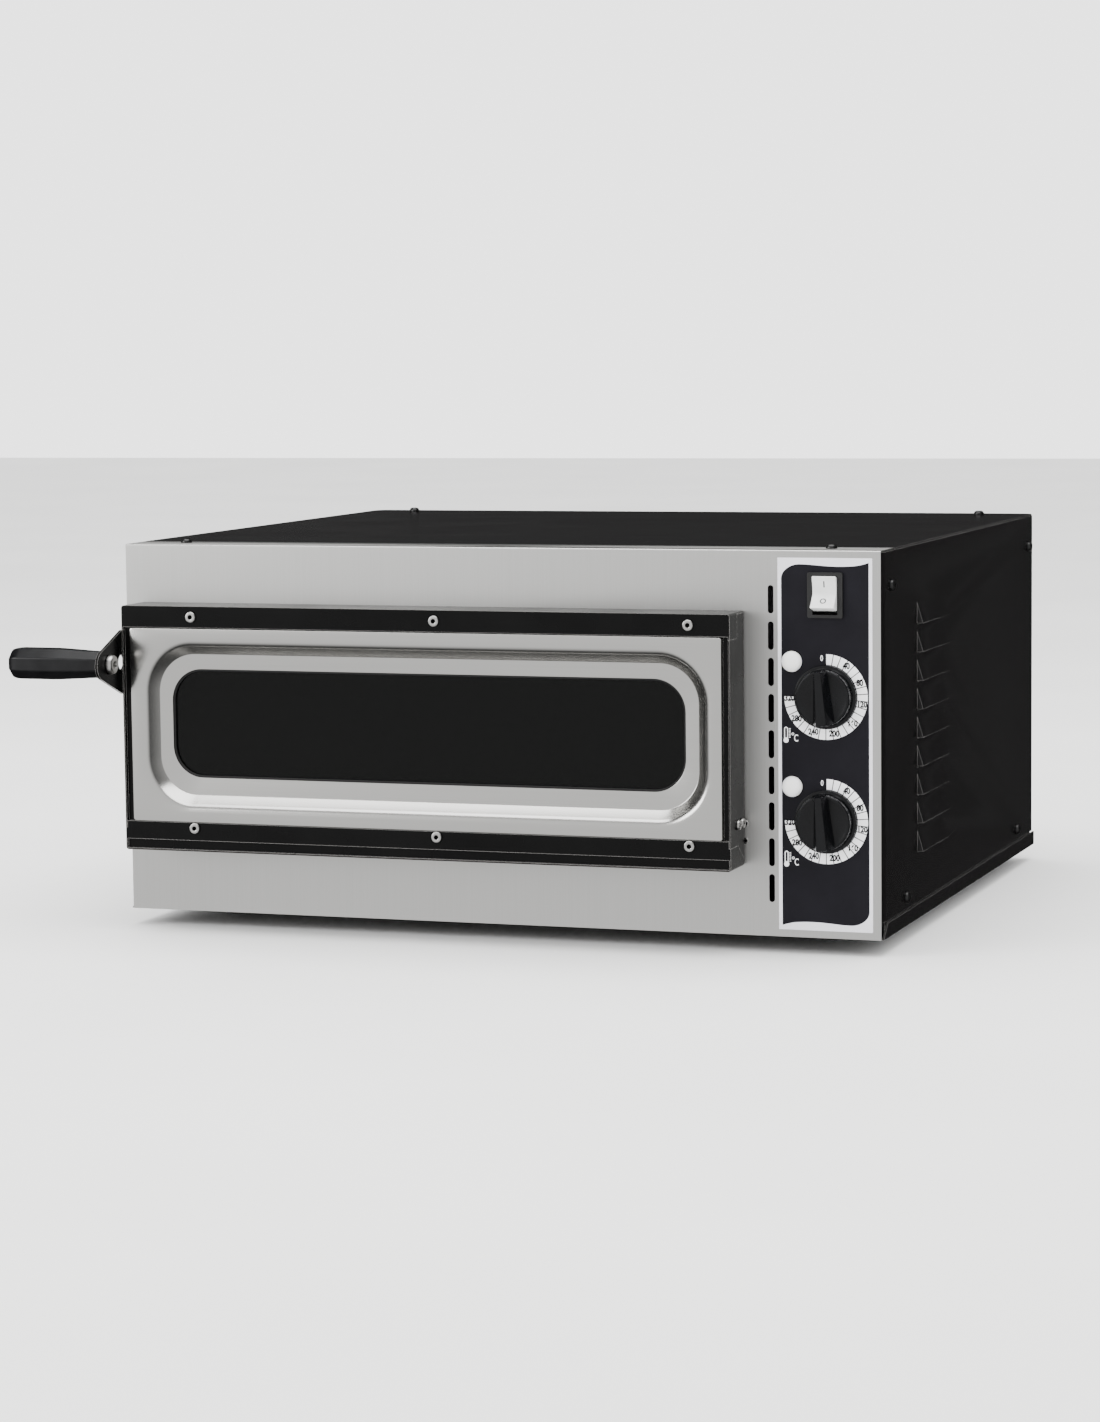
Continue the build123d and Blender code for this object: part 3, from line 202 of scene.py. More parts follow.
def rounded_outline(half_width, half_height, corner, steps):
    """Points round a rounded rectangle, counter-clockwise from its right side, as (x, z)."""
    points = []
    for side, (sx, sz) in enumerate(((1, 1), (-1, 1), (-1, -1), (1, -1))):
        for step in range(steps + 1):
            turn = radians(90 * side + 90 * step / steps)
            points.append((sx * (half_width - corner) + corner * cos(turn),
                           sz * (half_height - corner) + corner * sin(turn)))
    return points


def skin(rings, close=False, caps=False):
    """A mesh through rings of points that have equal counts, closed on itself or capped if asked."""
    mesh = bpy.data.meshes.new("skin")
    work = bmesh.new()
    loops = [[work.verts.new(point) for point in ring] for ring in rings]
    pairs = list(zip(loops, loops[1:]))
    if close:
        pairs.append((loops[-1], loops[0]))
    for low, high in pairs:
        count = len(low)
        for i in range(count):
            j = (i + 1) % count
            work.faces.new((low[i], low[j], high[j], high[i]))
    if caps:
        work.faces.new(loops[0])
        work.faces.new(loops[-1])
    bmesh.ops.remove_doubles(work, verts=work.verts, dist=1e-7)
    bmesh.ops.recalc_face_normals(work, faces=work.faces)
    work.to_mesh(mesh)
    work.free()
    return mesh


frame_low, frame_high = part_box("door_window_frame")
frame_middle = (frame_low + frame_high) / 2
glass_low, glass_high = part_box("door_glass")
pane_middle = (glass_low + glass_high) / 2
frame_half = (frame_high - frame_low) / 2
rim, slope, pressed_depth, sheet = 8.5 * mm, 10.5 * mm, 10 * mm, 1 * mm
pane_cover = 6 * mm
window_half = (glass_high - glass_low) / 2 - Vector((pane_cover, 0, pane_cover))


def frame_profile():
    """The front of the pressing from its outer flange to the window's edge, as (inset, depth) rows."""
    edge_roll = 0.8 * mm
    rows = [(0, frame_high.y - frame_low.y), (0, 1.5 * edge_roll)]
    for turn in (30, 60, 90):
        rows.append((edge_roll * (1 - cos(radians(turn))), edge_roll * (1 - sin(radians(turn)))))
    lean, roll, foot = radians(50), 9 * mm, 1 * mm
    run = roll * sin(lean) + (pressed_depth - roll * (1 - cos(lean))) / tan(lean)
    start = rim + slope - run
    for step in range(9):
        turn = lean * step / 8
        rows.append((start + roll * sin(turn), roll * (1 - cos(turn))))
    foot_back = foot * tan(lean / 2)
    for turn in (lean, lean / 2, 0):
        rows.append((rim + slope + foot_back - foot * sin(turn), pressed_depth - foot * (1 - cos(turn))))
    return rows


rings = []
outer_corner, recess_corner, window_corner = 2 * mm, 36 * mm, 23 * mm
corner_steps = 14
for inset, depth in frame_profile():
    corner = outer_corner
    if inset >= sheet:
        corner += recess_corner * min(1, inset / rim) - max(0, inset - rim) * 0.95
    outline = rounded_outline(frame_half.x - inset, frame_half.z - inset, corner, corner_steps)
    rings.append([(frame_middle.x + x, frame_low.y + depth, frame_middle.z + z) for x, z in outline])
ring_y = frame_low.y + pressed_depth
for grow, depth in ((0.3 * mm, 0), (0.08 * mm, 0.08 * mm), (0, 0.3 * mm), (0, sheet)):
    outline = rounded_outline(window_half.x + grow, window_half.z + grow, window_corner + grow,
                              corner_steps)
    rings.append([(pane_middle.x + x, ring_y + depth, pane_middle.z + z) for x, z in outline])
# The hidden side follows one sheet thickness behind, as (inset, corner, depth).
for inset, corner, depth in ((20 * mm, 27 * mm, pressed_depth + sheet), (9 * mm, 37 * mm, 1.4 * mm),
                             (sheet, 1.2 * mm, sheet), (sheet, 1.2 * mm, frame_high.y - frame_low.y)):
    back = rounded_outline(frame_half.x - inset, frame_half.z - inset, corner, corner_steps)
    rings.append([(frame_middle.x + x, frame_low.y + depth, frame_middle.z + z) for x, z in back])
pressing = skin(rings, close=True)
smooth(pressing, 38)

# Satin stainless: brighter than the front, with a faint sideways grain left by the polishing belt.
satin = finish("satin_pressed_stainless", ("#cbcac7", "#cfcecb"), 1.1, (0.2, 0.23), 1.1, 0.0003,
               stretch=(200, 1, 1), detail=4.0, Metallic=1.0)
stand_in(new_piece("window_frame_pressed", pressing), satin, "door_window_frame")

# ---------------------------------------------------------------------------------------------
# Window pane: 4 mm toughened glass, tinted by its heat-reflecting coat, in a black silicone gasket.

glass = bpy.data.materials.new("tinted_toughened_glass")
glass.use_nodes = True
pane_tree = glass.node_tree
pane_shader = pane_tree.nodes["Principled BSDF"]
for key, value in (("Base Color", linear("#0f100f")), ("IOR", 1.3), ("Transmission Weight", 0.6),
                   ("Specular IOR Level", 0.2)):
    pane_shader.inputs[key].default_value = value
pane_place = add(pane_tree, "ShaderNodeTexCoord").outputs["Object"]
smears = add(pane_tree, "ShaderNodeTexNoise", None,
             {"Vector": pane_place, "Scale": per(45), "Detail": 6.0})
haze = add(pane_tree, "ShaderNodeMapRange", None,
           {"Value": smears.outputs["Fac"], "From Min": 0.35, "From Max": 0.75,
            "To Min": 0.05, "To Max": 0.14})
pane_tree.links.new(haze.outputs["Result"], pane_shader.inputs["Roughness"])

pane_rings = []
pane_half = (glass_high - glass_low) / 2
for inset, y in ((0.4, 0), (0, 0.4), (0, 3.6), (0.4, 4.0)):
    outline = rounded_outline(pane_half.x - inset * mm, pane_half.z - inset * mm, window_corner, 12)
    pane_rings.append([(pane_middle.x + x, glass_low.y + y * mm, pane_middle.z + z) for x, z in outline])
pane_mesh = skin(pane_rings, caps=True)
smooth(pane_mesh, 30)
stand_in(new_piece("window_pane", pane_mesh), glass, "door_glass")

# Silicone rubber: black and slightly dusty.
silicone = finish("black_silicone", ("#0b0b0b", "#131212"), 12, (0.45, 0.6), 0.8, 0.01, IOR=1.41)
rounded_copy("glass_gasket", "window_gasket", silicone, edge=0.4)

# ---------------------------------------------------------------------------------------------
# Door shell: folded 1.2 mm steel channels above and below the window and an end plate at each
# side, in the same black enamel. The right end has a curved hole that shows the hinge arm.

# Door enamel: the same coat, a little glossier than the casing's and darker on its flat front.
door_enamel = finish("black_door_enamel", ("#060606", "#090909"), 55, (0.24, 0.33), 1.8, 0.0025, IOR=1.5,
                     Specular_IOR_Level=0.12)
# Painted highlight: pale hair lines on the door's folded edges, in place of the light they catch.
wear(door_enamel, "#8f8d8b", 0.7)
for part in ("door_top_channel", "door_bottom_channel", "door_side_left", "door_side_right"):
    rounded_copy(part, part + "_enamelled", door_enamel, edge=0.4)

# Inside of the door: a plain stainless liner with a woven glass-fibre seal round the mouth.
rounded_copy("door_inner_panel", "door_liner", brushed, edge=0.25)
woven = finish("woven_glass_fibre", ("#b9b3a4", "#d8d3c6"), 1.6, (0.85, 0.95), 1.1, 0.25)
rounded_copy("door_seal", "door_seal_tape", woven, edge=0.15)

# ---------------------------------------------------------------------------------------------
# Handle: a 2 mm enamelled plate on the door's left end, with its cut edges rounded, and a moulded
# eight-sided phenolic grip that one large button-head screw holds to the plate.

rounded_copy("handle_plate", "handle_plate_enamelled", door_enamel, edge=0.55, segments=3)

# Phenolic: black and slightly waxy, with the fine pitting of a moulded thermoset.
phenolic = finish("black_phenolic_grip", ("#08080a", "#0e0e10"), 9, (0.3, 0.42), 0.7, 0.004, IOR=1.55,
                  Specular_IOR_Level=0.25)

grip_low, grip_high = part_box("handle_grip")
grip_y = (grip_low.y + grip_high.y) / 2
grip_z = (grip_low.z + grip_high.z) / 2
grip_radius = (grip_high.z - grip_low.z) / 2
grip_length = grip_high.x - grip_low.x
grip_rows = [(0, 0.80), (0.012, 0.825), (0.15, 0.865), (0.3, 0.925), (0.45, 0.982), (0.52, 0.998),
             (0.6, 1.0), (0.88, 1.0), (0.93, 0.975), (0.965, 0.9), (0.988, 0.76), (1.0, 0.5)]
flat_turn = 45
grip_rings = []
for share, size in grip_rows:
    reach = size * grip_radius / cos(radians(flat_turn / 2))
    turns = [radians(flat_turn * (side + 0.5)) for side in range(8)]
    grip_rings.append([(grip_high.x - share * grip_length, grip_y + reach * cos(turn),
                        grip_z + reach * sin(turn)) for turn in turns])
grip_mesh = skin(grip_rings, caps=True)
smooth(grip_mesh, 30)
grip = new_piece("handle_grip_moulded", grip_mesh)
corners = grip.modifiers.new("corners", "BEVEL")
corners.width = 1.1 * mm
corners.segments = 3
corners.limit_method = "ANGLE"
corners.angle_limit = radians(30)
corners.harden_normals = True
stand_in(grip, phenolic, "handle_grip")

# ---------------------------------------------------------------------------------------------
# Hinges: zinc-plated steel arms inside the door's ends, turning on plain pins in two brackets that
# are screwed to the back of the front panel.

# Zinc plating: pale grey with a cloudy passivated bloom.
zinc = finish("zinc_plated_steel", ("#8f9398", "#b4b6b6"), 6, (0.3, 0.45), 0.6, 0.002, Metallic=1.0)
for part in ("hinge_arm_left", "hinge_arm_right", "hinge_bracket_left", "hinge_bracket_right",
             "hinge_pin_left", "hinge_pin_right"):
    rounded_copy(part, part + "_plated", zinc, edge=0.2)

# ---------------------------------------------------------------------------------------------
# Control label: a 0.4 mm polycarbonate film, printed pale round its border and charcoal inside,
# with a white scale band and dark numbers round each dial. It is glued to the front panel.

# Printed film: a fine matt emboss, which softens its reflections.
film_border = finish("label_film_pale", ("#d6d5dc", "#dddce2"), 30, (0.42, 0.5), 0.5, 0.002, IOR=1.58)
film_dark = finish("label_film_charcoal", ("#121116", "#15141a"), 25, (0.4, 0.5), 0.5, 0.002,
                   Specular_IOR_Level=0.12)
film_white = finish("label_ink_white", ("#f1f1f4", "#f8f8fa"), 8, (0.42, 0.5), 0.5, 0.001, IOR=1.5)
film_ink = finish("label_ink_black", ("#060607", "#09090a"), 4, (0.42, 0.5), 0.5, 0.001,
                  Specular_IOR_Level=0.1)

rounded_copy("control_label", "control_label_film", film_border, edge=0.08)
label_low, label_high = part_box("control_label")
ink = 0.015 * mm
facing_out = Matrix.Rotation(radians(90), 4, "X")


def as_mesh(name, data):
    """A flat curve or a text as a mesh that faces the front of the oven, about the origin."""
    maker = new_piece(name, data)
    bpy.context.view_layer.update()
    graph = bpy.context.evaluated_depsgraph_get()
    mesh = bpy.data.meshes.new_from_object(maker.evaluated_get(graph), depsgraph=graph)
    bpy.data.objects.remove(maker)
    mesh.transform(facing_out)
    return mesh


def printed(loops):
    """Flat printed shape from closed loops of (x, z); a loop inside another is a hole."""
    curve = bpy.data.curves.new("print", "CURVE")
    curve.dimensions = "2D"
    curve.fill_mode = "BOTH"
    curve.extrude = ink
    for loop in loops:
        spline = curve.splines.new("POLY")
        spline.points.add(len(loop) - 1)
        for point, (x, z) in zip(spline.points, loop):
            point.co = (x, z, 0, 1)
        spline.use_cyclic_u = True
    return as_mesh("print", curve)


def circle(x, z, radius, count=48):
    """A round loop."""
    turns = [2 * pi * i / count for i in range(count)]
    return [(x + radius * cos(turn), z + radius * sin(turn)) for turn in turns]


def joined(name, parts):
    """One mesh from several, each given with the place where its origin goes."""
    mesh = bpy.data.meshes.new(name)
    work = bmesh.new()
    for part, place in parts:
        part.transform(Matrix.Translation(place))
        work.from_mesh(part)
    bmesh.ops.remove_doubles(work, verts=work.verts, dist=1e-7)
    work.to_mesh(mesh)
    work.free()
    return mesh


def printed_piece(name, material, parts, layer):
    """A layer of print on the label, as a piece of its own."""
    y = label_low.y - (2 * layer + 1) * ink
    mesh = joined(name, [(part, (x, y, z)) for part, x, z in parts])
    piece = new_piece(name, mesh)
    mesh.materials.append(material)
    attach(piece, "body")
    return piece


def box_centre(node):
    """The middle of a CAD node."""
    low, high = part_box(node)
    return (low + high) / 2


# The charcoal field has a wavy top and bottom edge, the one the other turned half round.
left_border, right_border = 2.5 * mm, 2.4 * mm
field_left = label_low.x + left_border
field_right = label_high.x - right_border
field_middle_x = (field_left + field_right) / 2
label_middle_z = (label_low.z + label_high.z) / 2


def wave(share):
    """How far below the label's top the field starts, across its width from 0 to 1, in millimetres."""
    top_border, shoulder_drop, shoulder_width = 5.1, 9.5, 0.22
    across = 1 - min(1, share / shoulder_width)
    shoulder = shoulder_drop * (1 - (1 - across * across) ** 0.5)
    ripple = 0.75 * sin(2 * pi * (share - 0.42) / 0.95)
    corner = -1.6 * max(0, (share - 0.82) / 0.18) ** 2
    return top_border + shoulder + ripple + corner


field_half = (label_high.z - label_low.z) / 2
upper_edge = []
for step in range(61):
    share = (step / 60) ** 2
    x = field_left + share * (field_right - field_left)
    upper_edge.append((x, label_middle_z + field_half - wave(share) * mm))
lower_edge = [(2 * field_middle_x - x, 2 * label_middle_z - z) for x, z in upper_edge]
field_loops = [lower_edge + upper_edge]
switch_low, switch_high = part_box("switch_housing")
under_bezel = 1.5 * mm
hole_left, hole_right = switch_low.x + under_bezel, switch_high.x - under_bezel
hole_low, hole_high = switch_low.z + under_bezel, switch_high.z - under_bezel
field_loops.append([(hole_left, hole_low), (hole_right, hole_low), (hole_right, hole_high),
                    (hole_left, hole_high)])
dials = [box_centre("thermostat_shaft_" + which) for which in ("upper", "lower")]
lamps = [box_centre("lamp_lens_" + which) for which in ("upper", "lower")]
bush_hole, lamp_hole = 4.8 * mm, 5.3 * mm
for dial in dials:
    field_loops.append(circle(dial.x, dial.z, bush_hole))
for lamp in lamps:
    field_loops.append(circle(lamp.x, lamp.z, lamp_hole))
printed_piece("label_field", film_dark, [(printed(field_loops), 0, 0)], 0)

# Scale band: three quarters of a ring, from the top clockwise to the left.
band_inner, band_outer = 22.3 * mm, 29.5 * mm
band_sweep = 270


def on_dial(angle, radius):
    """A place on a dial's face, clockwise from its top."""
    return (radius * sin(radians(angle)), radius * cos(radians(angle)))


band_loop = [on_dial(a, band_outer) for a in range(0, band_sweep + 1, 3)]
band_loop += [on_dial(a, band_inner) for a in range(band_sweep, -1, -3)]


def words(text, size, squeeze=0.86, heavy=0.16):
    """Printed figures, centred on the origin."""
    data = bpy.data.curves.new("figures", "FONT")
    data.body = text
    data.size = size * mm
    data.extrude = ink
    data.offset = heavy * mm
    data.align_x = "CENTER"
    data.align_y = "CENTER"
    mesh = as_mesh("figures", data)
    mesh.transform(Matrix.Diagonal((squeeze, 1, 1, 1)))
    return mesh


first_figure, last_figure = 34, 267
zero_left, zero_up = 2.9 * mm, 26.5 * mm
white_parts = []
ink_parts = []
for dial in dials:
    white_parts.append((printed([band_loop]), dial.x, dial.z))
    white_parts.append((words("0", 5.4, 0.72, 0.04), dial.x - zero_left, dial.z + zero_up))
    for value in range(40, 321, 40):
        angle = first_figure + (value - 40) * (last_figure - first_figure) / (320 - 40)
        x, z = on_dial(angle, (band_inner + band_outer) / 2)
        ink_parts.append((words(str(value), 5.7, 0.84, 0.24), dial.x + x, dial.z + z))
# Thermometer sign: a white tube with a bulb, a dark bore, and seven marks beside it.
gauge_left, gauge_down, mark_count = 28.4 * mm, 26.5 * mm, 7
degree_left, degree_down = 23.6 * mm, 26.0 * mm
letter_left, letter_down = 21.2 * mm, 29 * mm
tube = [(1.35 * cos(radians(a)), 4.0 + 1.35 * sin(radians(a))) for a in range(0, 181, 15)]
tube += [(1.8 * cos(radians(a)), -3.9 + 1.8 * sin(radians(a))) for a in range(140, 401, 20)]
bore = [(0.75 * cos(radians(a)), 4.0 + 0.75 * sin(radians(a))) for a in range(0, 181, 20)]
bore += [(0.75 * cos(radians(a)), -1.6 + 0.5 * sin(radians(a))) for a in range(180, 361, 20)]
mark = [(1.9 * mm, 0), (3.2 * mm, 0), (3.2 * mm, 0.4 * mm), (1.9 * mm, 0.4 * mm)]
for dial in dials:
    gauge_x, gauge_z = dial.x - gauge_left, dial.z - gauge_down
    outlines = [[(x * mm, z * mm) for x, z in loop] for loop in (tube, bore)]
    white_parts.append((printed(outlines), gauge_x, gauge_z))
    for step in range(mark_count):
        white_parts.append((printed([mark]), gauge_x, gauge_z + (3.9 - step) * mm))
    degree = [circle(0, 0, 0.95 * mm, 24), circle(0, 0, 0.55 * mm, 24)]
    white_parts.append((printed(degree), dial.x - degree_left, dial.z - degree_down))
    white_parts.append((words("C", 6.8, 0.66, 0.03), dial.x - letter_left, dial.z - letter_down))
printed_piece("label_white_print", film_white, white_parts, 1)
printed_piece("label_numbers", film_ink, ink_parts, 2)


def tree_inputs(tree, names):
    """Gives a geometry tree its named inputs and returns the node that carries them."""
    for name, kind in names:
        tree.interface.new_socket(name, in_out="INPUT", socket_type=kind)
    tree.interface.new_socket("Result", in_out="OUTPUT", socket_type="NodeSocketGeometry")
    return add(tree, "NodeGroupInput").outputs


def grown(name, points, tree, values):
    """Runs a geometry tree on a mesh of points and returns what it makes as a plain mesh."""
    seed = new_piece(name, points)
    runner = seed.modifiers.new("grow", "NODES")
    runner.node_group = tree
    for item in tree.interface.items_tree:
        if item.in_out == "INPUT" and item.name in values:
            runner[item.identifier] = values[item.name]
    bpy.context.view_layer.update()
    graph = bpy.context.evaluated_depsgraph_get()
    mesh = bpy.data.meshes.new_from_object(seed.evaluated_get(graph), depsgraph=graph)
    seed.modifiers.remove(runner)
    bpy.data.objects.remove(seed)
    return mesh


# The tick marks of one dial: thin bars set round an arc.
ticks = bpy.data.node_groups.new("scale_ticks", "GeometryNodeTree")
given = tree_inputs(ticks, [("Count", "NodeSocketInt"), ("Radius", "NodeSocketFloat"),
                            ("Step", "NodeSocketFloat"), ("Bar", "NodeSocketVector"),
                            ("Centre", "NodeSocketVector"), ("Ink", "NodeSocketMaterial")])
number = add(ticks, "GeometryNodeInputIndex").outputs[0]
angle = add(ticks, "ShaderNodeMath", {"operation": "MULTIPLY"}, {0: number, 1: given["Step"]}).outputs[0]
across = add(ticks, "ShaderNodeMath", {"operation": "SINE"}, {0: angle}).outputs[0]
upward = add(ticks, "ShaderNodeMath", {"operation": "COSINE"}, {0: angle}).outputs[0]
outward = add(ticks, "ShaderNodeCombineXYZ", None, {"X": across, "Z": upward}).outputs[0]
reach = add(ticks, "ShaderNodeVectorMath", {"operation": "SCALE"},
            {0: outward, "Scale": given["Radius"]}).outputs[0]
place = add(ticks, "ShaderNodeVectorMath", {"operation": "ADD"}, {0: reach, 1: given["Centre"]}).outputs[0]
spots = add(ticks, "GeometryNodePoints", None, {"Count": given["Count"], "Position": place}).outputs[0]
bar = add(ticks, "GeometryNodeMeshCube", None, {"Size": given["Bar"]}).outputs[0]
lean = add(ticks, "ShaderNodeCombineXYZ", None, {"Y": angle}).outputs[0]
placed = add(ticks, "GeometryNodeInstanceOnPoints", None,
             {"Points": spots, "Instance": bar, "Rotation": lean}).outputs[0]
solid = add(ticks, "GeometryNodeRealizeInstances", None, {"Geometry": placed}).outputs[0]
inked = add(ticks, "GeometryNodeSetMaterial", None,
            {"Geometry": solid, "Material": given["Ink"]}).outputs[0]
add(ticks, "NodeGroupOutput", None, {"Result": inked})

tick_count, tick_step, tick_width = 26, 10.6, 0.6 * mm
tick_meshes = []
for dial in dials:
    made = grown("ticks", bpy.data.meshes.new("ticks"), ticks, {
        "Count": tick_count, "Radius": (band_inner + band_outer) / 2, "Step": radians(tick_step),
        "Bar": (tick_width, 2 * ink, band_outer - band_inner),
        "Centre": (dial.x, 0, dial.z), "Ink": film_ink})
    tick_meshes.append((made, 0, 0))
printed_piece("label_ticks", film_ink, tick_meshes, 2)

# ---------------------------------------------------------------------------------------------
# Dials: moulded phenolic knobs with a thin skirt, a flat face and a tapered wing to grip, pushed
# onto the thermostat spindles.

def ring_points(radius, z, shape, count):
    """One ring of a turned shape: round, six-sided or cross-shaped."""
    points = []
    for i in range(count):
        a = 2 * pi * (i + 0.5) / count
        r = radius
        if shape == "hex":
            r = radius / cos((a % (pi / 3)) - pi / 6)
        if shape == "cross":
            slim = radius * 0.26
            arms = [min(radius / max(abs(u), 1e-6), slim / max(abs(v), 1e-6))
                    for u, v in ((cos(a), sin(a)), (sin(a), cos(a)))]
            r = max(arms)
        points.append((r * cos(a), r * sin(a), z))
    return points


def turned(rows, count=48):
    """A solid turned about the Z axis from rows of (radius, height, shape), in millimetres."""
    rows = [row if len(row) == 3 else (*row, "round") for row in rows]
    mesh = skin([ring_points(r * mm, z * mm, shape, count) for r, z, shape in rows], caps=True)
    smooth(mesh, 34)
    return mesh


knob_plastic = finish("black_phenolic_dial", ("#08080a", "#0b0c0e"), 14, (0.24, 0.28), 0.9, 0.001, IOR=1.55,
                      Specular_IOR_Level=0.22)
knob_rows = [(21.2, 0), (21.8, 0.2), (22.0, 0.6), (22.0, 2.0), (21.8, 2.4), (21.3, 2.55), (19.95, 2.7),
             (19.6, 3.1), (19.45, 4.5), (19.2, 8.7), (19.05, 9.3), (18.7, 9.75), (18.1, 9.98),
             (17.4, 10.0), (16.9, 9.9), (16.5, 9.75), (4.0, 9.7)]


def wing(width_low, width_high, height_low, height_high):
    """The tapered wing on a dial's face; its lower end is wider, and its ridge is flat."""
    rings = []
    for share, height, reach in ((1.0, height_low, 18.9), (0.96, height_low + 0.8, 18.9),
                                 (0.5, height_high - 0.5, 18.6), (0.47, height_high - 0.12, 18.5),
                                 (0.44, height_high, 18.3)):
        low, high = width_low / 2 * share, width_high / 2 * share
        ends = []
        for half, side in ((high, 1), (low, -1)):
            spread = [half * (1 - 2 * i / 10) for i in range(11)]
            arc = [(x * side, side * (reach * reach - x * x) ** 0.5) for x in spread]
            ends.append(arc)
        rings.append([(x * mm, z * mm, height * mm) for x, z in ends[0] + ends[1]])
    mesh = skin(rings, caps=True)
    smooth(mesh, 20)
    return mesh


knob_lean = -4
face_height, wing_height, wing_low_width, wing_high_width = 9.6, 18.0, 15.6, 9.6
for which, dial in zip(("upper", "lower"), dials):
    node = "knob_" + which
    knob_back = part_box(node)[1].y
    finger_wing = wing(wing_low_width, wing_high_width, face_height, wing_height)
    shape = joined(node, [(turned(knob_rows, 96), (0, 0, 0)), (finger_wing, (0, 0, 0))])
    lean = Matrix.Rotation(radians(knob_lean), 4, "Y")
    shape.transform(Matrix.Translation((dial.x, knob_back, dial.z)) @ lean @ facing_out)
    stand_in(new_piece(node + "_moulded", shape), knob_plastic, node)

# ---------------------------------------------------------------------------------------------
# Signal lamps: domed opal lenses that snap into the panel, one beside each dial.

opal = finish("opal_acrylic", ("#fafaf8", "#fdfdfb"), 6, (0.16, 0.24), 1.0, 0.001, IOR=1.49,
              Subsurface_Weight=0.35, Subsurface_Radius=(0.004, 0.004, 0.0035))
lens_rows = [(6.9, 0), (7.15, 0.2), (7.2, 0.6), (7.2, 1.1), (7.05, 1.6), (6.7, 2.3), (6.1, 3.0), (5.2, 3.6),
             (4.0, 4.1), (2.6, 4.4), (1.2, 4.5)]
for which, lamp in zip(("upper", "lower"), lamps):
    node = "lamp_lens_" + which
    lens = turned(lens_rows, 64)
    lens.transform(Matrix.Translation((lamp.x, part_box(node)[1].y, lamp.z)) @ facing_out)
    smooth(lens, 60)
    stand_in(new_piece(node + "_domed", lens), opal, node)

# ---------------------------------------------------------------------------------------------
# Mains switch: a nylon housing clipped through the panel, with a raised bezel, and a translucent
# white rocker on two trunnions, printed with its on and off signs.

nylon = finish("black_nylon", ("#0c0c0c", "#121212"), 8, (0.42, 0.55), 0.6, 0.012, IOR=1.53)
rounded_copy("switch_housing", "switch_bezel", nylon, edge=0.5)

rocker_plastic = finish("white_translucent_rocker", ("#cfd0cf", "#dcdddb"), 7, (0.18, 0.26), 1.2, 0.002,
                        IOR=1.5, Subsurface_Weight=0.2, Subsurface_Radius=(0.003, 0.003, 0.003))
rocker_low, rocker_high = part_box("switch_rocker")
rock_joint = next(joint for joint in record["behaviour"]["joints"] if joint["name"] == "switch_rock")
pivot = Vector(rock_joint["pos_m"])
trunnion, tilt = 1.0 * mm, -15
rocker_half = (rocker_high.x - rocker_low.x) / 2 - trunnion
rest_tilt = Matrix.Translation(pivot) @ Matrix.Rotation(radians(tilt), 4, "X")


def dish(z):
    """How far the rocker's face stands in front of its pivot at a height, in millimetres."""
    return 5.0 + 5.0 * (abs(z) / 11.2) ** 1.25


side = [(-dish(z / 10), z / 10) for z in range(-108, 109, 12)]
side = [(-dish(11.0) + 1.0, -11.2), (-dish(11.0) + 0.3, -11.1)] + side
side += [(-dish(11.0) + 0.3, 11.1), (-dish(11.0) + 1.0, 11.2), (0, 11.2), (4, 8.2), (4, -8.2),
         (0, -11.2)]
rocker_rings = []
for inset, x in ((0.5, -1), (0.12, -0.97), (0, -0.9), (0, 0.9), (0.12, 0.97), (0.5, 1)):
    rocker_rings.append([(x * rocker_half, (y + (inset if y < -4 else 0)) * mm,
                          z * (1 - inset / 14) * mm) for y, z in side])
rocker_mesh = skin(rocker_rings, caps=True)
smooth(rocker_mesh, 32)
rocker_mesh.transform(rest_tilt)
stand_in(new_piece("switch_rocker_moulded", rocker_mesh), rocker_plastic, "switch_rocker")

sign_ink = finish("sign_print_grey", ("#1c1d1f", "#292a2c"), 3, (0.4, 0.5), 0.5, 0.001)
sign_reach, sign_line, sign_lift = 2.2 * mm, 0.8 * mm, 0.06
stroke = [(-sign_line / 2, -sign_reach), (sign_line / 2, -sign_reach), (sign_line / 2, sign_reach),
          (-sign_line / 2, sign_reach)]
ring_sign = [circle(0, 0, sign_reach, 32), circle(0, 0, sign_reach - sign_line, 32)]
sign_parts = []
for loops, z in (([stroke], 6.0), (ring_sign, -5.6)):
    rise = dish(z + 0.5) - dish(z - 0.5)
    sign = printed(loops)
    follow = Matrix.Rotation(atan2(rise, 1), 4, "X")
    sign.transform(rest_tilt @ Matrix.Translation((0, -(dish(z) + sign_lift) * mm, z * mm)) @ follow)
    sign_parts.append((sign, (0, 0, 0)))
signs = new_piece("switch_signs", joined("switch_signs", sign_parts))
signs.data.materials.append(sign_ink)
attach(signs, "switch")

# ---------------------------------------------------------------------------------------------
# Screws: black pan heads with cross recesses in the casing, bright socket screws in the door, small
# ones in the window frame's flanges, and button heads in the hinge arms and the handle.

# Bright stainless screw: turned, so nearly mirror-like, with faint rings.
screw_steel = finish("stainless_screw", ("#b9b8b6", "#cfcecb"), 1.5, (0.3, 0.36), 0.3, 0.0005, Metallic=1.0)
# Black-coated screw: satin coating over steel.
screw_black = finish("black_coated_screw", ("#0a0a0a", "#161616"), 2, (0.25, 0.36), 0.4, 0.002, IOR=1.5)



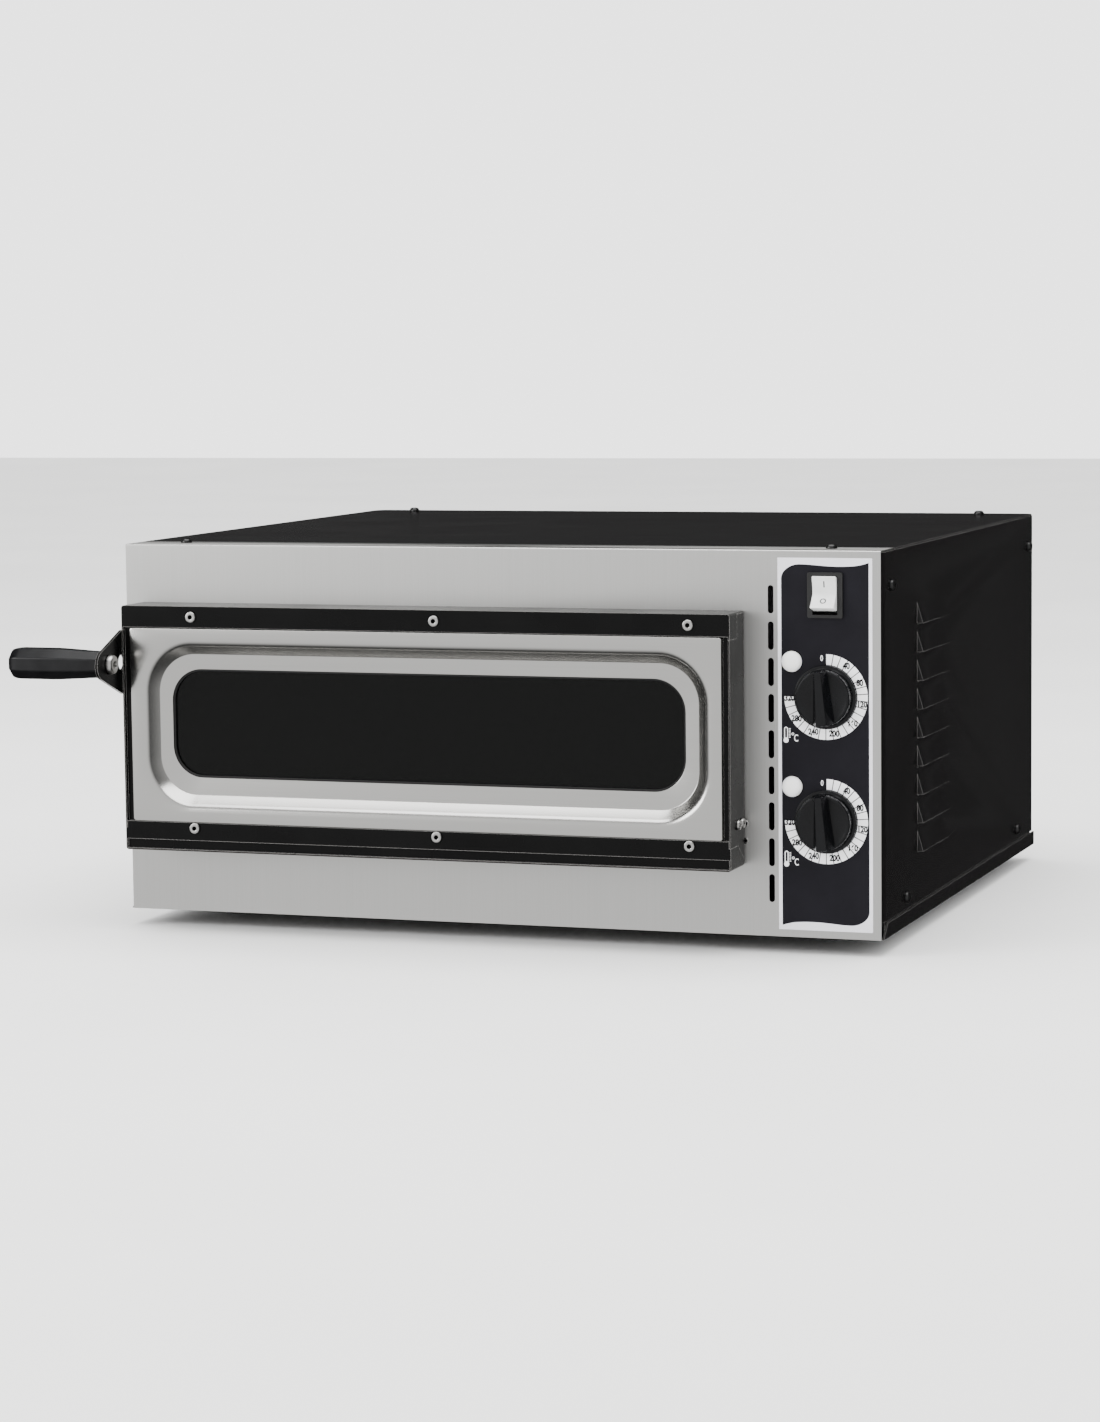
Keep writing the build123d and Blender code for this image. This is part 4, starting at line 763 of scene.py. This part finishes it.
def hollow(kind, reach, shade):
    """Paints shade into a finish inside recesses narrower than about reach millimetres, darkening them
    where light does not reach.
    """
    tree = kind.node_tree
    shader = tree.nodes["Principled BSDF"]
    open_sky = add(tree, "ShaderNodeAmbientOcclusion", {"samples": 8},
                   {"Distance": reach * mm}).outputs["AO"]
    inward = add(tree, "ShaderNodeMapRange", None,
                 {"Value": open_sky, "From Min": 0.75, "From Max": 0.45})
    base = shader.inputs["Base Color"].links[0].from_socket
    colour = add(tree, "ShaderNodeMix", {"data_type": "RGBA"},
                 {0: inward.outputs["Result"], 6: base, 7: linear(shade)})
    tree.links.new(colour.outputs[2], shader.inputs["Base Color"])


# Painted shade: the sockets of the bright screws are darkened where the light does not reach into them.
hollow(screw_steel, 3, "#0c0b0b")

screw_set = bpy.data.node_groups.new("screw_set", "GeometryNodeTree")
given = tree_inputs(screw_set, [("Places", "NodeSocketGeometry"), ("Screw", "NodeSocketObject"),
                                ("Seed", "NodeSocketInt"), ("Finish", "NodeSocketMaterial")])
one = add(screw_set, "GeometryNodeObjectInfo", None, {"Object": given["Screw"]}).outputs["Geometry"]
faces = add(screw_set, "GeometryNodeInputNamedAttribute", {"data_type": "FLOAT_VECTOR"}, {"Name": "facing"})
aimed = add(screw_set, "FunctionNodeAlignRotationToVector", {"axis": "Z"},
            {"Vector": faces.outputs["Attribute"]})
chance = add(screw_set, "FunctionNodeRandomValue", {"data_type": "FLOAT"},
             {"Min": 0.0, "Max": 2 * pi, "Seed": given["Seed"]})
spin = add(screw_set, "FunctionNodeAxisAngleToRotation", None,
           {"Axis": (0, 0, 1), "Angle": chance.outputs[1]})
both = add(screw_set, "FunctionNodeRotateRotation", {"rotation_space": "LOCAL"},
           {"Rotation": aimed.outputs[0], "Rotate By": spin.outputs[0]})
placed = add(screw_set, "GeometryNodeInstanceOnPoints", None,
             {"Points": given["Places"], "Instance": one, "Rotation": both.outputs[0]})
solid = add(screw_set, "GeometryNodeRealizeInstances", None, {"Geometry": placed.outputs[0]}).outputs[0]
coated = add(screw_set, "GeometryNodeSetMaterial", None,
             {"Geometry": solid, "Material": given["Finish"]}).outputs[0]
add(screw_set, "NodeGroupOutput", None, {"Result": coated})


def solids_in(node):
    """The box of each separate solid in a CAD node."""
    work = bmesh.new()
    work.from_mesh(frame["nodes"][node].data)
    bmesh.ops.remove_doubles(work, verts=work.verts, dist=0.002 * mm)
    boxes = []
    left = set(work.verts)
    while left:
        group = {left.pop()}
        edge = list(group)
        while edge:
            near = {v for e in edge.pop().link_edges for v in e.verts} - group
            group |= near
            left -= near
            edge.extend(near)
        low = Vector([min(v.co[k] for v in group) for k in range(3)])
        high = Vector([max(v.co[k] for v in group) for k in range(3)])
        boxes.append((low, high))
    work.free()
    return sorted(boxes, key=lambda pair: tuple(pair[0]))


def screws(node, head, head_height, material, outward, seed):
    """Puts one screw where each solid of a CAD group is; outward gives the way its head faces."""
    places = bpy.data.meshes.new(node)
    rows = []
    for low, high in solids_in(node):
        middle = (low + high) / 2
        way = outward(middle)
        tip = Vector([high[k] if way[k] > 0 else low[k] if way[k] < 0 else middle[k]
                      for k in range(3)])
        rows.append((tip - Vector(way) * head_height * mm, way))
    places.from_pydata([row[0] for row in rows], [], [])
    facing = places.attributes.new("facing", "FLOAT_VECTOR", "POINT")
    for i, row in enumerate(rows):
        facing.data[i].vector = row[1]
    source = new_piece(node + "_source", turned(head, 48))
    mesh = grown(node, places, screw_set, {"Screw": source, "Seed": seed, "Finish": material})
    bpy.data.objects.remove(source)
    return stand_in(new_piece(node + "_turned", mesh), material, node)


def pan_head(radius, height, shank, length):
    """A domed head with a cross recess."""
    deep = height * 0.45
    outer = [(shank, -length), (shank, 0), (0.94 * radius, 0)]
    dome = [(1.0, 0.08), (1.0, 0.3), (0.95, 0.52), (0.84, 0.74), (0.66, 0.9), (0.6, 0.93)]
    outer += [(radius * across, height * up) for across, up in dome]
    return outer + [(radius * 0.5, height * 0.97, "cross"), (radius * 0.42, deep, "cross"),
                    (radius * 0.1, deep * 0.8)]


def socket_head(radius, height, shank, length, socket=0.4):
    """A low rounded head with a six-sided socket."""
    deep = -height * 0.8
    outer = [(shank, -length), (shank, 0), (0.95 * radius, 0)]
    crown = [(1.0, 0.1), (1.0, 0.35), (0.96, 0.75), (0.9, 0.92), (0.82, 1.0), (0.62, 1.0),
             (socket + 0.05, 1.0)]
    outer += [(radius * across, height * up) for across, up in crown]
    return outer + [(radius * socket, height * 0.95, "hex"), (radius * socket * 0.97, deep, "hex"),
                    (radius * 0.08, deep)]


casing_rise = 3.2
casing_head = pan_head(4.0, casing_rise, 2.0, 7.0)
screws("top_screws", casing_head, casing_rise, screw_black, lambda p: (0, 0, 1), 3)
screws("side_screws", casing_head, casing_rise, screw_black, lambda p: (1 if p.x > 0 else -1, 0, 0), 5)
screws("rear_screws", casing_head, casing_rise, screw_black, lambda p: (0, 1, 0), 7)
screws("door_face_screws", socket_head(4.0, 1.8, 2.0, 8.0), 1.8, screw_steel, lambda p: (0, -1, 0), 11)
screws("window_frame_screws", socket_head(2.3, 1.2, 1.25, 4.0), 1.2, screw_steel,
       lambda p: (0, 0, 1 if p.z > frame_middle.z else -1), 13)
door_middle_x = frame_middle.x
screws("hinge_screws", socket_head(3.6, 2.2, 2.0, 7.0), 2.2, screw_steel,
       lambda p: (1 if p.x > door_middle_x else -1, 0, 0), 17)
screws("handle_plate_screws", socket_head(3.6, 2.2, 2.0, 6.2), 2.2, screw_steel,
       lambda p: (-1, 0, 0), 19)
screws("handle_screw", socket_head(7.0, 4.4, 4.0, 36.0, 0.36), 4.4, screw_steel,
       lambda p: (1, 0, 0), 23)
screws("foot_screws", pan_head(4.5, 2.6, 2.5, 9.0), 2.6, screw_steel, lambda p: (0, 0, -1), 29)
screws("bracket_screws", socket_head(2.3, 1.2, 1.25, 4.0), 1.2, screw_steel, lambda p: (0, -1, 0), 31)

# ---------------------------------------------------------------------------------------------
# Feet and cable gland: moulded rubber feet under the tray, and a nylon gland for the supply cable.

rubber = finish("black_moulded_rubber", ("#121212", "#1b1b1a"), 6, (0.6, 0.75), 0.7, 0.03, IOR=1.5)
rounded_copy("rubber_feet", "feet_moulded", rubber, edge=0.9, segments=3)
rounded_copy("cable_gland", "cable_gland_moulded", nylon, edge=0.4)

# ---------------------------------------------------------------------------------------------
# Baking chamber: an aluminised steel liner, a cast refractory stone on pressed supports, and two
# bent sheathed elements held by clips.

# Aluminised sheet: matt and cloudy, with heat tint.
aluminised = finish("aluminised_steel", ("#8d8c89", "#a9a7a3"), 18, (0.42, 0.58), 1.2, 0.004, Metallic=1.0)
# Refractory: pale, sandy and porous, with 1 to 2 mm grains.
stone = finish("refractory_stone", ("#a99f8c", "#c9bfa9"), 3.5, (0.85, 0.95), 1.4, 0.18, detail=8.0)
# Oxidised alloy sheath: dark grey-brown and matt.
sheath = finish("oxidised_element_sheath", ("#2c2a29", "#413d3a"), 9, (0.45, 0.6), 0.8, 0.01, Metallic=0.8)
# Mineral wool: yellow-grey matted fibres.
wool = finish("mineral_wool", ("#a79b72", "#c8bd94"), 4, (0.95, 1.0), 2.0, 0.8, stretch=(6, 6, 1))
rounded_copy("chamber_liner", "chamber_liner_folded", aluminised, edge=0.25)
rounded_copy("baking_stone", "baking_stone_cast", stone, edge=1.6, segments=3)
for part in ("heating_element_upper", "heating_element_lower"):
    rounded_copy(part, part + "_bent", sheath, edge=0.15)
for part in ("element_clips", "stone_supports"):
    rounded_copy(part, part + "_pressed", aluminised, edge=0.15)

# ---------------------------------------------------------------------------------------------
# Inside the casing: bulkhead, wool, thermostats with their bulbs and spindles, lamp bodies and
# terminal block. They keep the CAD shapes and take the finish of what they are made of.

cream = finish("cream_moulded_plastic", ("#b8b09a", "#cac3ae"), 10, (0.4, 0.55), 0.8, 0.004, IOR=1.5)
copper = finish("copper_capillary", ("#8a4f33", "#a9653f"), 5, (0.25, 0.4), 0.5, 0.002, Metallic=1.0)
spindle = finish("plated_spindle_steel", ("#8d8f92", "#a5a6a8"), 3, (0.2, 0.3), 0.4, 0.001, Metallic=1.0)
inside = {aluminised: ["bulkhead"], wool: ["chamber_insulation", "door_insulation"],
          copper: ["thermostat_bulb_upper", "thermostat_bulb_lower"],
          spindle: ["thermostat_shaft_upper", "thermostat_shaft_lower"],
          cream: ["thermostat_upper", "thermostat_lower", "lamp_body_upper", "lamp_body_lower",
                  "terminal_block"]}
for material, nodes in inside.items():
    for node in nodes:
        data = frame["nodes"][node].data
        data.materials.clear()
        data.materials.append(material)

# ---------------------------------------------------------------------------------------------
# Stage, light and camera: a pale floor in a room whose front wall is bright and whose back is dim,
# with a large softbox overhead, one at the left, and a bright strip of ground far behind.

floor_mesh = bpy.data.meshes.new("floor")
floor_mesh.from_pydata([(-9, -9, 0), (9, -9, 0), (9, 9, 0), (-9, 9, 0)], [], [(0, 1, 2, 3)])
floor = new_piece("floor", floor_mesh)
floor_mesh.materials.append(finish("pale_floor", ("#f0f0ef", "#f3f3f2"), 400, (0.7, 0.8), 3, 0.01))
floor.visible_glossy = False

world = bpy.data.worlds.new("room")
world.use_nodes = True
bpy.context.scene.world = world
room = world.node_tree
backdrop = room.nodes["Background"]
rays = add(room, "ShaderNodeLightPath").outputs
toward = add(room, "ShaderNodeTexCoord").outputs["Generated"]
forward = add(room, "ShaderNodeSeparateXYZ", None, {0: toward}).outputs["Y"]
walls = add(room, "ShaderNodeMapRange", {"interpolation_type": "SMOOTHSTEP"},
            {"Value": forward, "From Min": -0.25, "From Max": -0.8, "To Min": 0.05, "To Max": 1.0})
behind = add(room, "ShaderNodeVectorMath", {"operation": "DOT_PRODUCT"},
             {0: toward, 1: (-0.38, 0.86, -0.34)})
sweep = add(room, "ShaderNodeMapRange", {"interpolation_type": "SMOOTHSTEP"},
            {"Value": behind.outputs["Value"], "From Min": 0.93, "From Max": 0.97, "To Max": 5.0})
glints = add(room, "ShaderNodeMath", None, {0: walls.outputs["Result"], 1: sweep.outputs["Result"]})
around = add(room, "ShaderNodeMix", {"data_type": "RGBA"},
             {0: rays["Is Diffuse Ray"], 6: glints.outputs["Value"], 7: (2.3, 2.3, 2.3, 1)})
shade = add(room, "ShaderNodeMix", {"data_type": "RGBA"},
            {0: rays["Is Camera Ray"], 6: around.outputs[2], 7: (2.9, 2.9, 2.9, 1)})
room.links.new(shade.outputs[2], backdrop.inputs["Color"])


def softbox(name, place, target, size, power):
    """A rectangular area light that faces a point."""
    data = bpy.data.lights.new(name, "AREA")
    data.shape = "RECTANGLE"
    data.size, data.size_y = size
    data.energy = power
    lamp_object = bpy.data.objects.new(name, data)
    facing = (Vector(target) - Vector(place)).to_track_quat("-Z", "Y")
    lamp_object.matrix_world = Matrix.Translation(place) @ facing.to_matrix().to_4x4()
    bpy.context.collection.objects.link(lamp_object)
    return lamp_object


softbox("overhead", (0, -0.3, 2.4), (0, 0, 0.2), (2.6, 2.2), 90)
softbox("left_box", (-2.3, -2.2, 1.2), (0, -0.2, 0.15), (1.4, 1.8), 50)

aim = Vector((0, 0, 0.152))
azimuth, elevation, roll = radians(19.21), radians(5.87), radians(-0.65)
view_line = Vector((-sin(azimuth) * cos(elevation), cos(azimuth) * cos(elevation), -sin(elevation)))
level = Vector((cos(azimuth), sin(azimuth), 0))
upright = level.cross(view_line)
across = level * cos(roll) + upright * sin(roll)
above = upright * cos(roll) - level * sin(roll)
distance, aim_right, aim_up = 2.882, 0.041, 0.013
eye = aim - view_line * distance - across * aim_right - above * aim_up
camera_data = bpy.data.cameras.new("camera")
camera_data.sensor_fit = "VERTICAL"
camera_data.sensor_height = 36
camera_data.lens = 94.73
camera = bpy.data.objects.new("camera", camera_data)
turn = Matrix((across, above, -view_line)).transposed().to_4x4()
camera.matrix_world = Matrix.Translation(eye) @ turn
bpy.context.collection.objects.link(camera)
bpy.context.scene.camera = camera
